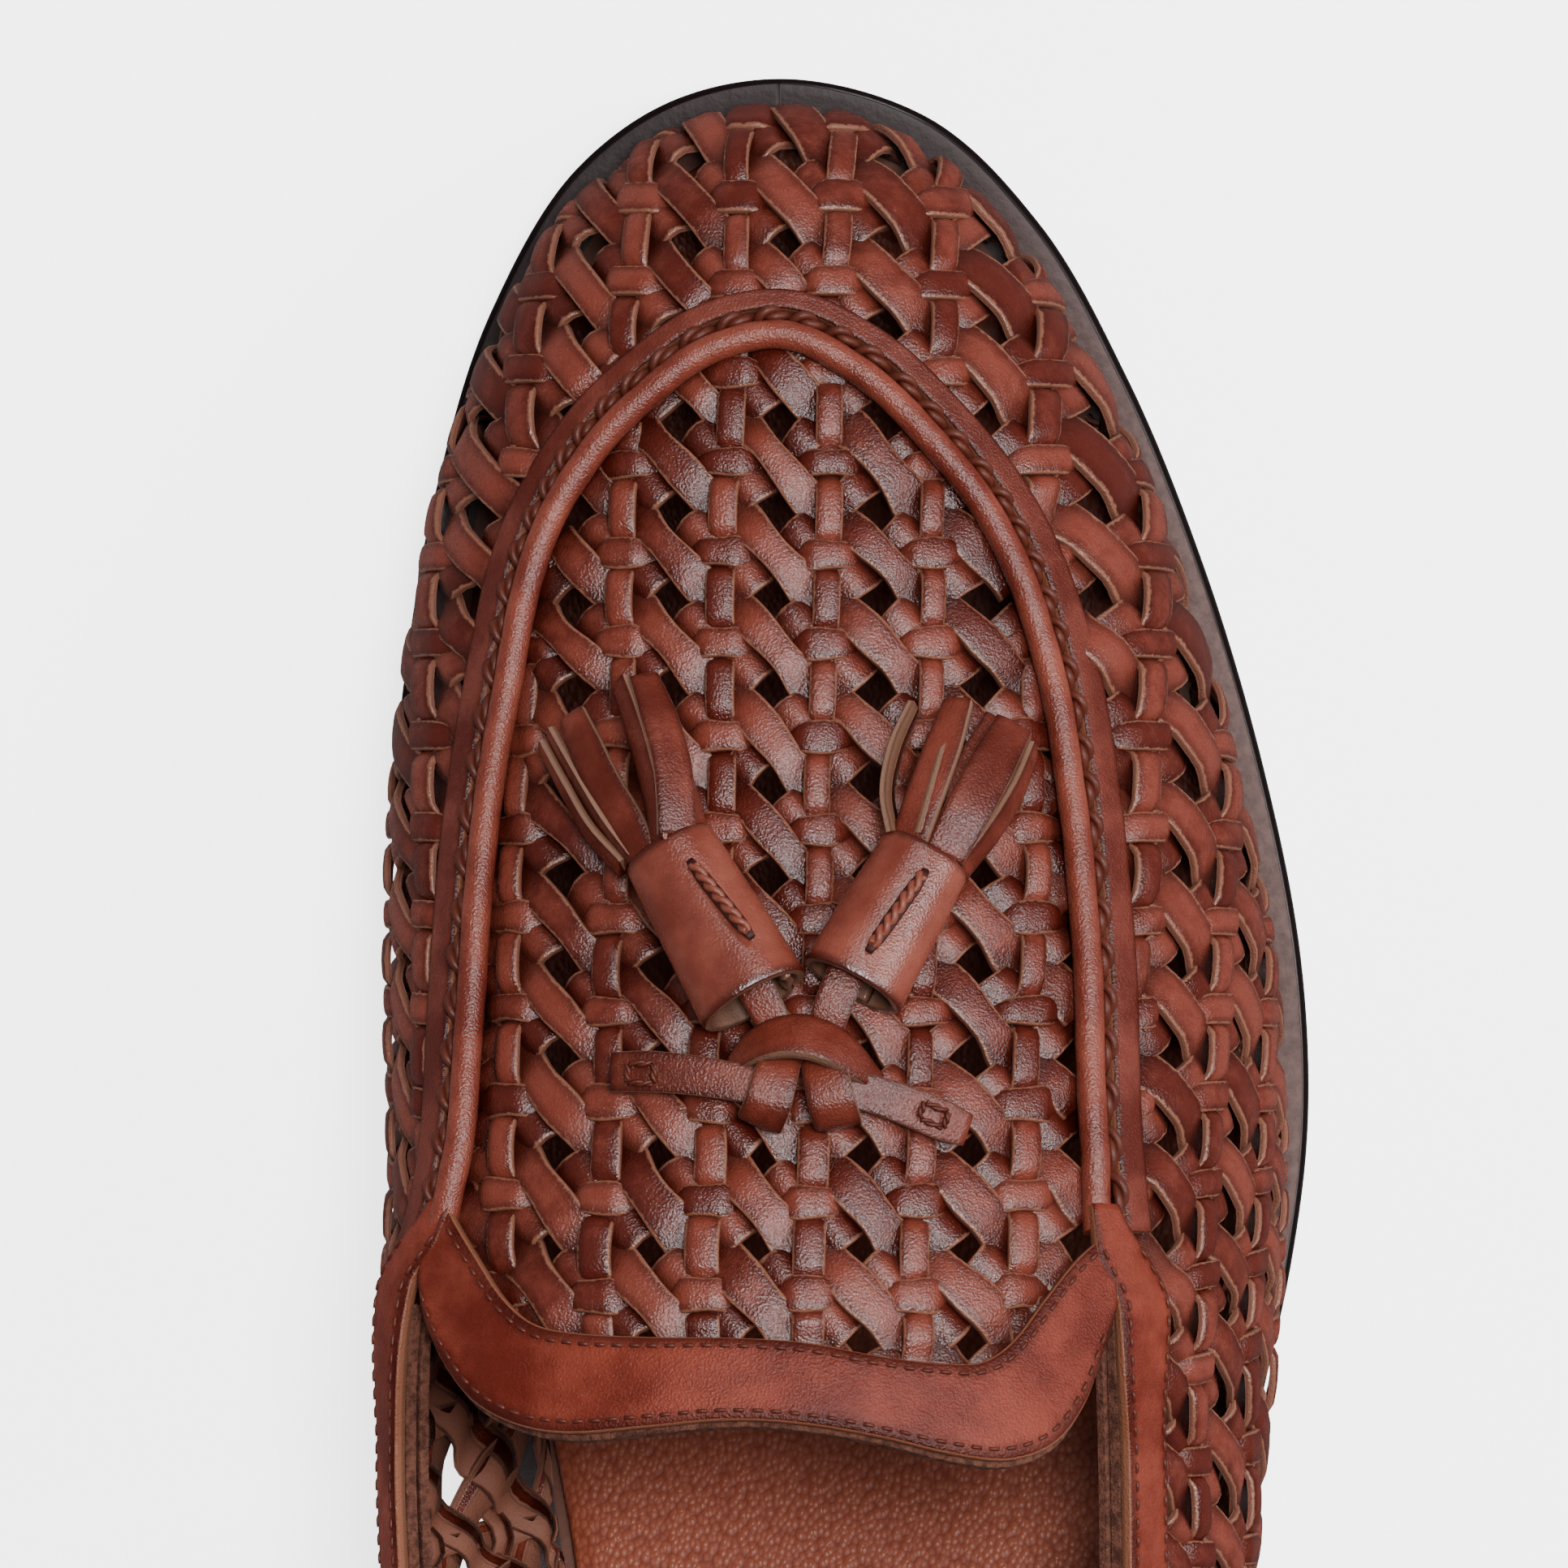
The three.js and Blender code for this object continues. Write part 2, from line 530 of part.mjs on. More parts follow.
const upper = toGeometry(toBody(apronWeave).intersect(toBody(planPrism)).add(toBody(wallWeave)))

// Rolled piping on the seam and the flat strip outside it, both from the wall's own surface.
const ringPlaces = (from, to) => {
  const inner = Array.from({ length: 4 * RING_CELLS }, (_, k) => (k - RING_CELLS) * halfStep)
  return [from, ...inner.filter((u) => u > from + 1 && u < to - 1), to]
}
const seamPlaces = ringPlaces(medialNotch + 15, lateralNotch - 11)
const pipingProfile = [[-1, 0], [-0.72, 0.72], [0, 1], [0.72, 0.72], [1, 0]]
const piping = sweep(seamPlaces.map((u) => {
  const { top, out } = section(u)
  const normal = apronNormal(top.x, top.y)
  const side = out.clone().addScaledVector(normal, -out.dot(normal)).normalize()
  return pipingProfile.map(([s, r]) => top.clone()
    .addScaledVector(side, (s * PIPING_WIDTH) / 2)
    .addScaledVector(normal, HEM_STEP + 0.45 + r * PIPING_RISE))
}))
const seamBand = strip(
  seamPlaces.length,
  (i, s, h) => wallPoint(seamPlaces[i], mix(BAND_INNER, BAND_OUTER, s), h),
  HEM_STEP + GAP,
  HEM_STEP + GAP + LEATHER,
)

// The collar: a band over the throat and one down each topline and round the heel, joined at the ears.
const collarUnder = HEM_STEP + GAP + 0.25
const collarOver = collarUnder + LEATHER
const throatBand = strip(
  throat.length,
  (i, s, h) => {
    const t = throat[i]
    return apronPoint(mix(t.edge[0], t.front[0], s), mix(t.edge[1], t.front[1], s), h)
  },
  collarUnder,
  collarOver,
  2,
)
const EAR_REACH = 9.5
const EAR_LAP = 2.2
const COLLAR_EDGE = 0.1
const collarPlaces = ringPlaces(lateralNotch - EAR_REACH, RING + medialNotch + EAR_REACH + 2)
const collarSide = strip(
  collarPlaces.length,
  (i, s, h) => {
    const u = collarPlaces[i]
    const past = Math.min(u - collarPlaces[0], collarPlaces[collarPlaces.length - 1] - u)
    const width = mix(1.2, COLLAR_WIDTH, smooth(past, -1, EAR_REACH * 1.2))
    const upperEdge = past < EAR_REACH ? -EAR_LAP : COLLAR_EDGE
    return wallPoint(u, s < 0.5 ? mix(upperEdge, COLLAR_EDGE, 2 * s) : mix(COLLAR_EDGE, width, 2 * s - 1), h)
  },
  collarUnder,
  collarOver,
  2,
)
const collar = join(throatBand, collarSide)

const backPlaces = Array.from({ length: 7 }, (_, k) => k / 6)
const backStrap = strip(
  backPlaces.length,
  (i, s, h) => {
    const u = heelAt + (s - 0.5) * BACK_STRAP_WIDTH
    return wallPoint(u, mix(COLLAR_WIDTH + 0.8, section(u).length - 1, backPlaces[i]), h)
  },
  HEM_STEP + GAP,
  HEM_STEP + GAP + LEATHER,
  4,
)

// The little strap across the apron: two halves that meet under the knot.
const planPoint = ([across, along]) => [across * BALL_WIDTH, along * LENGTH]
const apronStrip = (path, width, under, over, count) => {
  const curve = new THREE.SplineCurve(path.map(planPoint).map(([x, y]) => new THREE.Vector2(x, y)))
  return strip(
    count,
    (i, s, h) => {
      const at = curve.getPoint(i / (count - 1))
      const way = curve.getTangent(i / (count - 1))
      const aside = (s - 0.5) * width
      return apronPoint(at.x - way.y * aside, at.y + way.x * aside, h)
    },
    under,
    over,
  )
}
const strapLeft = apronStrip(STRAP_LEFT, STRAP_WIDTH, TRIM_LIFT, TRIM_LIFT + STRAP_THICK, 7)
const strapRight = apronStrip(STRAP_RIGHT, STRAP_WIDTH, TRIM_LIFT, TRIM_LIFT + STRAP_THICK, 7)

// The knot: two wraps over the strap and the arched tab on their toe side, one solid.
const wraps = WRAP_CENTRES.map((centre) => {
  const [x, y] = planPoint(centre)
  return sweep(WRAP_ARC.map(([along, rise], k) => {
    const lean = Math.sign(WRAP_ARC.length - 1 - 2 * k) * (rise < 1 ? WRAP_THICK * (1.6 - rise) : 0)
    const outerRise = rise * WRAP_RISE + 0.5
    const innerRise = Math.max(outerRise - WRAP_THICK, TRIM_LIFT)
    const half = WRAP_WIDTH / 2
    const at = y + along * LENGTH
    return [
      apronPoint(x - half, at, outerRise), apronPoint(x + half, at, outerRise),
      apronPoint(x + half, at - lean, innerRise), apronPoint(x - half, at - lean, innerRise),
    ]
  }))
})
const tab = sweep(TAB_ARC.map(([across, along]) => {
  const [x, y] = planPoint([across, along])
  const low = apronPoint(x, y + STRAP_WIDTH * 0.35, TAB_LIFT - 1.4)
  const high = apronPoint(x, y - STRAP_WIDTH * 0.55, TAB_LIFT + 1.2)
  const lowIn = apronPoint(x, y + STRAP_WIDTH * 0.2, TAB_LIFT - 1.4 - TAB_THICK * 0.6)
  const highIn = apronPoint(x, y - STRAP_WIDTH * 0.55, TAB_LIFT + 1.2 - TAB_THICK)
  return [low, high, highIn, lowIn]
}))
const knot = join(wraps[0], wraps[1], tab)

// A tassel: a rolled, flattened leather head, its leaves on one plug, and the lace that enters its base.
function tassel(side) {
  const t = named(TASSEL_COLUMNS, TASSELS[side])
  const tip = apronPoint(...planPoint([t.tipAcross, t.tipAlong]), BARREL_LIFT)
  const base = apronPoint(...planPoint([t.baseAcross, t.baseAlong]), BARREL_LIFT)
  const axis = base.clone().sub(tip).normalize()
  const aside = V(0, 0, 1).cross(axis).normalize()
  const up = axis.clone().cross(aside)
  const long = tip.distanceTo(base)
  // An oval across the head, at a distance from the tip end, drawn in by so many millimetres.
  const oval = (at, drawnIn, count) => {
    const half = (mix(t.tipWidth, t.baseWidth, at / long) * BALL_WIDTH) / 2
    return Array.from({ length: count }, (_, k) => {
      const turn = (2 * Math.PI * k) / count
      return tip.clone()
        .addScaledVector(axis, at)
        .addScaledVector(aside, Math.cos(turn) * (half - drawnIn))
        .addScaledVector(up, Math.sin(turn) * (half * BARREL_FLAT - drawnIn))
    })
  }
  const barrelRings = [[0, 0.3], [0.6, 0], [long, 0], [long, BARREL_WALL], [0, BARREL_WALL]]
  const barrel = sweep(barrelRings.map(([at, drawnIn]) => oval(at, drawnIn, 14)), true)
  const plugIn = BARREL_WALL + GAP
  const plug = sweep([oval(-2.6, plugIn + 0.5, 12), oval(0, plugIn, 12), oval(FRINGE_PLUG, plugIn, 12)])
  const leaves = LEAVES[side].map(([across, along, root, lift]) => {
    const half = (t.tipWidth * BALL_WIDTH) / 2 - plugIn - LEAF_WIDTH / 2
    const from = tip.clone()
      .addScaledVector(axis, -0.9)
      .addScaledVector(aside, -root * half)
      .addScaledVector(up, (lift - 4.2) * 0.5)
    const to = apronPoint(...planPoint([across, along]), lift)
    const bow = from.clone().lerp(to, 0.5).add(V(0, 0, 0.8))
    const curve = new THREE.QuadraticBezierCurve3(from, bow, to)
    return sweep(Array.from({ length: 4 }, (_, k) => {
      const s = k / 3
      const at = curve.getPoint(s)
      const way = curve.getTangent(s)
      const wide = V(0, 0, 1).cross(way).normalize()
      const thick = way.clone().cross(wide)
      const across = (LEAF_WIDTH / 2) * (k === 3 ? 0.8 : 1)
      const corner = (a, b) =>
        at.clone().addScaledVector(wide, a * across).addScaledVector(thick, (b * LEAF_THICK) / 2)
      return [corner(-1, 1), corner(1, 1), corner(1, -1), corner(-1, -1)]
    }))
  })
  const inBase = tip.clone().addScaledVector(axis, long - 5)
  const [tabX, tabY] = planPoint(TAB_ARC[side === 'left' ? 1 : 3])
  const fromTab = apronPoint(tabX, tabY + STRAP_WIDTH * 0.35 + 1, TRIM_LIFT + LACE_THICK / 2 + 0.4)
  const laceBow = base.clone().addScaledVector(axis, 2.2)
  const laceCurve = new THREE.QuadraticBezierCurve3(fromTab, laceBow, inBase)
  const lace = sweep(Array.from({ length: 6 }, (_, k) => {
    const at = laceCurve.getPoint(k / 5)
    const way = laceCurve.getTangent(k / 5)
    const wide = V(0, 0, 1).cross(way).normalize()
    const thick = way.clone().cross(wide)
    const corner = (a, b) =>
      at.clone().addScaledVector(wide, (a * LACE_WIDTH) / 2).addScaledVector(thick, (b * LACE_THICK) / 2)
    return [corner(-1, 1), corner(1, 1), corner(1, -1), corner(-1, -1)]
  }))
  return { barrel, fringe: join(plug, ...leaves), lace }
}
const tasselLeft = tassel('left')
const tasselRight = tassel('right')

// Sole, heel and insole: lofts through upright sections across the shoe.
const edgeCount = 480
const edgeSamples = Array.from({ length: edgeCount + 1 }, (_, k) => ringTable((k * RING) / edgeCount))
const soleOf = (r) => [r[3], r[4]]
const rightEdge = edgeSamples.filter((_, k) => (k * RING) / edgeCount <= heelAt).map(soleOf)
const leftEdge = edgeSamples.filter((_, k) => (k * RING) / edgeCount >= heelAt).map(soleOf).reverse()
const TOE_TIP = STATIONS[0][4] * LENGTH
const HEEL_TIP = STATIONS[AT_STATION.heel][4] * LENGTH
function edgeAt(line, y) {
  let k = 0
  while (k < line.length - 2 && line[k + 1][1] > y) k += 1
  const [a, b] = [line[k], line[k + 1]]
  const s = THREE.MathUtils.clamp((a[1] - y) / Math.max(a[1] - b[1], 1e-6), 0, 1)
  return mix(a[0], b[0], s)
}
function insetSpan(y, inset, tip = TOE_TIP, back = HEEL_TIP) {
  const stretch = (tip - back) / (tip - back - 2 * inset)
  const source = (tip + back) / 2 + (y - (tip + back) / 2) * stretch
  const [left, right] = [edgeAt(leftEdge, source), edgeAt(rightEdge, source)]
  const middle = (left + right) / 2
  const half = Math.max((right - left) / 2 - inset, 0)
  return [middle - half, middle + half]
}
const roundSteps = (from, to, count) =>
  Array.from({ length: count + 1 }, (_, k) => mix(from, to, (1 - Math.cos((Math.PI * k) / count)) / 2))
const outsole = sweep(roundSteps(TOE_TIP, HEEL_TIP, SOLE_SECTIONS).map((y) => {
  const [left, right] = insetSpan(y, 0)
  const bevel = Math.min(SOLE_BEVEL, (right - left) * 0.3)
  const top = soleTop(y)
  const base = top - SOLE_THICK
  return [
    V(left + bevel, y, base), V(left, y, base + SOLE_BEVEL),
    V(left, y, top - SOLE_BEVEL), V(left + bevel, y, top),
    V(right - bevel, y, top), V(right, y, top - SOLE_BEVEL),
    V(right, y, base + SOLE_BEVEL), V(right - bevel, y, base),
  ]
}))
const heelLoft = (bottom, top, insetLow, insetHigh) => {
  const places = Array.from({ length: 13 }, (_, k) => k / 12)
  return sweep(places.map((s) => {
    const bend = 1 - (1 - s) ** 2
    const at = (inset) => mix(HEEL_BREAST, HEEL_TIP + inset, bend)
    const [yLow, yHigh] = [at(insetLow), at(insetHigh)]
    const [leftLow, rightLow] = insetSpan(yLow, insetLow)
    const [leftHigh, rightHigh] = insetSpan(yHigh, insetHigh)
    return [
      V(leftLow, yLow, bottom(yLow)), V(leftHigh, yHigh, top(yHigh)),
      V(rightHigh, yHigh, top(yHigh)), V(rightLow, yLow, bottom(yLow)),
    ]
  }))
}
const soleUnder = (y) => soleTop(y) - SOLE_THICK - GAP
const heelStack = heelLoft(() => HEEL_TIP_THICK + GAP, soleUnder, HEEL_INSET + HEEL_TAPER * 0.7, HEEL_INSET)
const tipInset = HEEL_INSET + HEEL_TAPER
const heelTip = heelLoft(() => 0, () => HEEL_TIP_THICK, tipInset, HEEL_INSET + HEEL_TAPER * 0.7)
const insoleInset = (y) => margin(y) + WALL + INSOLE_CLEAR
const insoleEnds = [TOE_TIP - insoleInset(TOE_TIP), HEEL_TIP + insoleInset(HEEL_TIP)]
const insole = sweep(roundSteps(...insoleEnds, SOLE_SECTIONS).map((y) => {
  const [left, right] = insetSpan(y, insoleInset(y))
  const base = soleTop(y) + GAP
  const over = base + INSOLE_THICK
  return [V(left, y, base), V(left, y, over), V(right, y, over), V(right, y, base)]
}))

const LEATHER_BROWN = 0x7a3624
const TASSEL_BROWN = 0x6e2c1d
const piece = (name, geometry, color, roughness) => {
  geometry.computeVertexNormals()
  const mesh = new THREE.Mesh(geometry, new THREE.MeshStandardMaterial({ color, roughness, metalness: 0 }))
  mesh.name = name
  return mesh
}

const group = new THREE.Group()
group.add(
  piece('upper', upper, LEATHER_BROWN, 0.45),
  piece('outsole', outsole, 0x2a1814, 0.5),
  piece('heel_stack', heelStack, 0x2a1814, 0.5),
  piece('heel_tip', heelTip, 0x161414, 0.8),
  piece('insole', insole, 0x7d4630, 0.6),
  piece('apron_piping', piping, 0x7d3a28, 0.4),
  piece('seam_band', seamBand, LEATHER_BROWN, 0.45),
  piece('collar_band', collar, 0x74341f, 0.4),
  piece('back_strap', backStrap, LEATHER_BROWN, 0.45),
  piece('strap_left', strapLeft, TASSEL_BROWN, 0.4),
  piece('strap_right', strapRight, TASSEL_BROWN, 0.4),
  piece('knot', knot, TASSEL_BROWN, 0.4),
  piece('lace_left', tasselLeft.lace, TASSEL_BROWN, 0.4),
  piece('lace_right', tasselRight.lace, TASSEL_BROWN, 0.4),
  piece('barrel_left', tasselLeft.barrel, TASSEL_BROWN, 0.35),
  piece('barrel_right', tasselRight.barrel, TASSEL_BROWN, 0.35),
  piece('fringe_left', tasselLeft.fringe, TASSEL_BROWN, 0.4),
  piece('fringe_right', tasselRight.fringe, TASSEL_BROWN, 0.4),
)

// The origin is on the floor, under the middle of the shoe's box.
const box = new THREE.Box3().setFromObject(group)
const middle = box.getCenter(V(0, 0, 0))
group.position.set(-middle.x, -middle.y, -box.min.z)

export default group
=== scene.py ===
import math
import bmesh
import bpy
import numpy as np
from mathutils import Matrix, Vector


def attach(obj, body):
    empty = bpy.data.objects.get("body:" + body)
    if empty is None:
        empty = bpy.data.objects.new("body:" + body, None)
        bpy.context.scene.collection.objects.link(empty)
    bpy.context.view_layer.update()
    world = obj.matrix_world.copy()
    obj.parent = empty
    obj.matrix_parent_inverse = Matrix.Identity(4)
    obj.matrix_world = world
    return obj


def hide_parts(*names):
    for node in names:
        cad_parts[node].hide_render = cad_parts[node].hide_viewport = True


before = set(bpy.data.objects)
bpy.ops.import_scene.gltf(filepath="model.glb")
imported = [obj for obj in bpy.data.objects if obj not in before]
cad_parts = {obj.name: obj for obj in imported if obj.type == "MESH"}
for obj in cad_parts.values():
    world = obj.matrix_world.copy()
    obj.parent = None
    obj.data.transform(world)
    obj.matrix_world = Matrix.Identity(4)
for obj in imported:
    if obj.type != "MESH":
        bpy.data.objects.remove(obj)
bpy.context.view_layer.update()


# The camera: almost straight above the front of the shoe, leaning a little to the little-toe side,
# so that the toe cap, the apron and the throat fill the picture and the heel runs out below it.
camera_data = bpy.data.cameras.new("camera")
camera_data.lens = 255.4
camera_data.sensor_width = 36
camera_data.clip_end = 10
camera = bpy.data.objects.new("camera", camera_data)
camera.location = (0.10487, 0.068276, 1.290243)
camera.rotation_euler = (0, math.radians(5), 0)
bpy.context.scene.collection.objects.link(camera)
bpy.context.scene.camera = camera


# The floor and the light: a white table with a glow of its own that runs out of the picture, one
# strong soft light above, others beside the little toe and beyond the toe, a weak one opposite, and a
# dim even room. The table isn't seen in the leather's gloss.
bpy.ops.mesh.primitive_plane_add(size=6, location=(0, 0, -0.0002))
floor = bpy.context.object
floor.name = "floor"
floor_material = bpy.data.materials.new("white_table")
floor_material.use_nodes = True
floor_shader = floor_material.node_tree.nodes["Principled BSDF"]
floor_shader.inputs["Base Color"].default_value = (0.97, 0.97, 0.97, 1)
floor_shader.inputs["Roughness"].default_value = 0.9
floor_shader.inputs["Specular IOR Level"].default_value = 0.1
floor_shader.inputs["Emission Color"].default_value = (1, 1, 1, 1)
floor_shader.inputs["Emission Strength"].default_value = 2.6
floor.data.materials.append(floor_material)
floor.visible_glossy = False

world = bpy.data.worlds.new("room")
world.use_nodes = True
world.node_tree.nodes["Background"].inputs["Color"].default_value = (1, 1, 1, 1)
world.node_tree.nodes["Background"].inputs["Strength"].default_value = 0.14
bpy.context.scene.world = world


def soft_light(name, place, aim, size, watts):
    data = bpy.data.lights.new(name, "AREA")
    data.shape = "RECTANGLE"
    data.size, data.size_y = size
    data.energy = watts
    light = bpy.data.objects.new(name, data)
    light.location = place
    way = Vector(aim) - Vector(place)
    light.rotation_euler = way.to_track_quat("-Z", "Y").to_euler()
    bpy.context.scene.collection.objects.link(light)


soft_light("top_light", (0.3, 0.2, 1.7), (0, 0.03, 0.04), (0.5, 0.45), 50)
soft_light("side_light", (1.2, 0.2, 1.0), (0, 0.03, 0.04), (0.3, 0.7), 20)
soft_light("toe_light", (0.35, 1.05, 1.25), (0, 0.06, 0.04), (0.4, 0.3), 9)
soft_light("far_light", (-1.1, 0.5, 1.4), (0, 0.05, 0.06), (0.2, 0.6), 1)


# The upper: woven by hand from four sets of leather strips on the last. One set runs along the foot,
# one across it, and two run aslant. Between the columns the slant strips cross and leave gaps, and on
# the columns the lengthwise strip and the cross strip take turns on top.
MM = 0.001


def curve_through(knots, rows, period=0.0):
    """A smooth curve through rows of numbers at the knots; it closes when a period is given."""
    knots = np.array(knots, float)
    rows = np.array(rows, float)
    if period:
        knots = np.concatenate([knots[-2:] - period, knots, knots[:3] + period])
        rows = np.concatenate([rows[-2:], rows, rows[:3]])
    steps = np.diff(knots)
    slopes = np.diff(rows, axis=0) / steps[:, None]
    inner = slopes[:-1] * steps[1:, None] + slopes[1:] * steps[:-1, None]
    inner = inner / (steps[1:] + steps[:-1])[:, None]
    tangents = np.concatenate([slopes[:1], inner, slopes[-1:]])

    def at(places):
        u = np.asarray(places, float)
        u = np.mod(u, period) if period else np.clip(u, knots[0], knots[-1])
        k = np.clip(np.searchsorted(knots, u, side="right") - 1, 0, len(knots) - 2)
        span = (knots[k + 1] - knots[k])[..., None]
        s = (u - knots[k])[..., None] / span
        s2, s3 = s * s, s * s * s
        ends = (2 * s3 - 3 * s2 + 1) * rows[k] + (3 * s2 - 2 * s3) * rows[k + 1]
        return ends + ((s3 - 2 * s2 + s) * tangents[k] + (s3 - s2) * tangents[k + 1]) * span

    return at


def smooth(x, start, end):
    s = np.clip((np.asarray(x, float) - start) / (end - start), 0, 1)
    return s * s * (3 - 2 * s)


# Stations round the shoe from the toe past the little-toe side: the top edge (on the apron where no
# height is given), the sole's edge, and how far the wall bulges low and high.
STATIONS = [
    (-5.2, 119.3, None, -7.5, 149.7, 3, 17),
    (3.7, 115.4, None, 9.0, 145.5, 3, 15),
    (12.4, 107.1, None, 22.0, 133.3, 3.5, 11),
    (19.8, 96.9, None, 32.2, 115.3, 3.5, 9),
    (25.2, 82.8, None, 41.0, 93.5, 3, 8),
    (28.5, 65.3, None, 48.0, 69.8, 2.5, 7.5),
    (30.4, 47.3, None, 52.2, 48.3, 2.5, 8),
    (31.3, 30.3, None, 53.1, 30.3, 3.5, 8),
    (33.4, 11.3, None, 51.3, 13.3, 6, 7.5),
    (34.1, -4.7, 61.0, 47.5, -4.7, 9.5, 7.5),
    (34.3, -22.7, 60.5, 43.5, -24.7, 12, 8.5),
    (34.4, -50.7, 60.5, 39.0, -54.7, 10, 7),
    (33.2, -80.7, 63.0, 36.8, -84.7, 7, 4.5),
    (30.0, -106.7, 69.0, 35.6, -111.7, 6, 3.5),
    (23.0, -127.2, 76.5, 30.0, -132.7, 6, 3),
    (12.0, -138.2, 81.5, 17.5, -144.7, 6, 2),
    (-0.5, -141.7, 83.0, -0.5, -148.3, 6, 1.5),
    (-13.0, -138.2, 81.5, -18.5, -144.7, 6, 2),
    (-24.5, -127.2, 76.5, -30.5, -132.7, 6, 3),
    (-32.5, -106.7, 69.0, -35.6, -111.7, 5.5, 3.5),
    (-37.5, -80.7, 64.0, -35.6, -84.7, 7.5, 4.5),
    (-41.6, -50.7, 61.5, -34.6, -54.7, 13, 6),
    (-43.8, -22.7, 61.0, -36.6, -24.7, 15, 7),
    (-44.4, -4.7, 61.0, -40.6, -4.7, 13.5, 7),
    (-43.3, 11.3, None, -45.2, 13.3, 11, 8),
    (-39.2, 26.3, None, -49.6, 30.3, 9, 10),
    (-38.3, 43.3, None, -52.2, 48.3, 7, 11),
    (-37.3, 63.6, None, -53.2, 68.3, 4, 10),
    (-35.2, 79.3, None, -51.8, 83.3, 3.5, 9.5),
    (-32.4, 93.8, None, -48.4, 102.3, 3, 9.5),
    (-27.0, 104.5, None, -41.8, 122.8, 3, 10),
    (-20.2, 112.1, None, -31.4, 139.5, 3, 12),
    (-13.0, 117.4, None, -20.0, 147.3, 3, 15),
]
sole_top_curve = curve_through(
    [-148.3, -98.7, -76.7, -58.7, -40.7, -20.7, -3.7, 13.3, 31.3, 46.3, 63.3, 81.3, 91.3, 106.3, 121.3,
     133.3, 143.3, 150.9],
    [[26.5], [26.4], [25.9], [23.9], [20.4], [15.4], [11], [7.4], [5], [4.5], [4.5], [4.5], [4.6], [5.5],
     [7.2], [8.9], [10.9], [12.6]],
)
ridge_curve = curve_through(
    [-18.7, 1.3, 26.3, 51.3, 76.3, 101.3, 121.3, 136.3, 149.3],
    [[84.0], [78.5], [70.0], [61.5], [53.5], [46.0], [40.2], [36.5], [33.0]],
)


def sole_top(y):
    return np.maximum(sole_top_curve(y)[..., 0], 4.5)


def apron_height(x, y):
    middle = -4.0 - 3.0 * np.clip((y - 1.3) / 119.2, 0, 1)
    return ridge_curve(y)[..., 0] - (x - middle) ** 2 / 104


def apron_point(x, y, h=0.0):
    """A point h millimetres over the apron's surface."""
    x, y, h = np.broadcast_arrays(np.asarray(x, float), np.asarray(y, float), np.asarray(h, float))
    slope_x = apron_height(x + 0.5, y) - apron_height(x - 0.5, y)
    slope_y = apron_height(x, y + 0.5) - apron_height(x, y - 0.5)
    normal = np.stack([-slope_x, -slope_y, np.ones_like(x)], -1)
    normal /= np.linalg.norm(normal, axis=-1, keepdims=True)
    return np.stack([x, y, apron_height(x, y)], -1) + normal * h[..., None]


rows = []
for x, y, z, sole_x, sole_y, low, high in STATIONS:
    free = z is not None
    rows.append((x, y, z if free else float(apron_height(x, y)), sole_x, sole_y, low, high, float(free)))
rows = np.array(rows)
after = np.roll(rows, -1, axis=0)
ring_steps = (np.hypot(rows[:, 0] - after[:, 0], rows[:, 1] - after[:, 1])
              + np.hypot(rows[:, 3] - after[:, 3], rows[:, 4] - after[:, 4])) / 2
ring_knots = np.concatenate([[0], np.cumsum(ring_steps)])
RING = float(ring_knots[-1])
ring_knots = ring_knots[:-1]
ring_curve = curve_through(ring_knots, rows, RING)
LATERAL_NOTCH = float(ring_knots[8])
HEEL = float(ring_knots[16])
MEDIAL_NOTCH = float(ring_knots[24]) - RING

# A fine grid of the wall: places round the ring, and equal steps down each upright section.
WALL_U = 520
WALL_W = 40
ring_places = np.arange(WALL_U) * RING / WALL_U
ring_rows = ring_curve(ring_places)
ring_ahead = ring_curve(ring_places + 0.5)
ring_behind = ring_curve(ring_places - 0.5)
outward = np.stack([-(ring_ahead[:, 4] - ring_behind[:, 4]), ring_ahead[:, 3] - ring_behind[:, 3]], -1)
outward /= np.linalg.norm(outward, axis=1, keepdims=True)
free = np.clip(ring_rows[:, 7], 0, 1)
apron_z = apron_height(ring_rows[:, 0], ring_rows[:, 1])
tops = np.stack([ring_rows[:, 0], ring_rows[:, 1], apron_z + (ring_rows[:, 2] - apron_z) * free], -1)
edge_margin = 2.6 + 1.7 * smooth(ring_rows[:, 4], -34.5, 31.1)
feet = np.zeros((WALL_U, 3))
feet[:, :2] = ring_rows[:, 3:5] - outward * edge_margin[:, None]
feet[:, 2] = sole_top(feet[:, 1]) + 0.5
apron_slope = (apron_height(tops[:, 0] + outward[:, 0] * 0.5, tops[:, 1] + outward[:, 1] * 0.5)
               - apron_height(tops[:, 0] - outward[:, 0] * 0.5, tops[:, 1] - outward[:, 1] * 0.5))
slope = apron_slope + (-2 - apron_slope) * free
low, high = ring_rows[:, 5], ring_rows[:, 6]
flat_out = np.concatenate([outward, np.zeros((WALL_U, 1))], 1)
up = np.array([0, 0, 1.0])
handle_high = tops + flat_out * high[:, None] + up * (slope * high)[:, None]
handle_low = feet + flat_out * low[:, None] + up * (0.3 * (tops[:, 2] - feet[:, 2]))[:, None]
s = np.linspace(0, 1, 29)[None, :, None]
bezier = ((1 - s) ** 3 * tops[:, None] + 3 * s * (1 - s) ** 2 * handle_high[:, None]
          + 3 * s * s * (1 - s) * handle_low[:, None] + s ** 3 * feet[:, None])
run = np.concatenate([np.zeros((WALL_U, 1)),
                      np.cumsum(np.linalg.norm(np.diff(bezier, axis=1), axis=2), axis=1)], 1)
wall_length = run[:, -1]
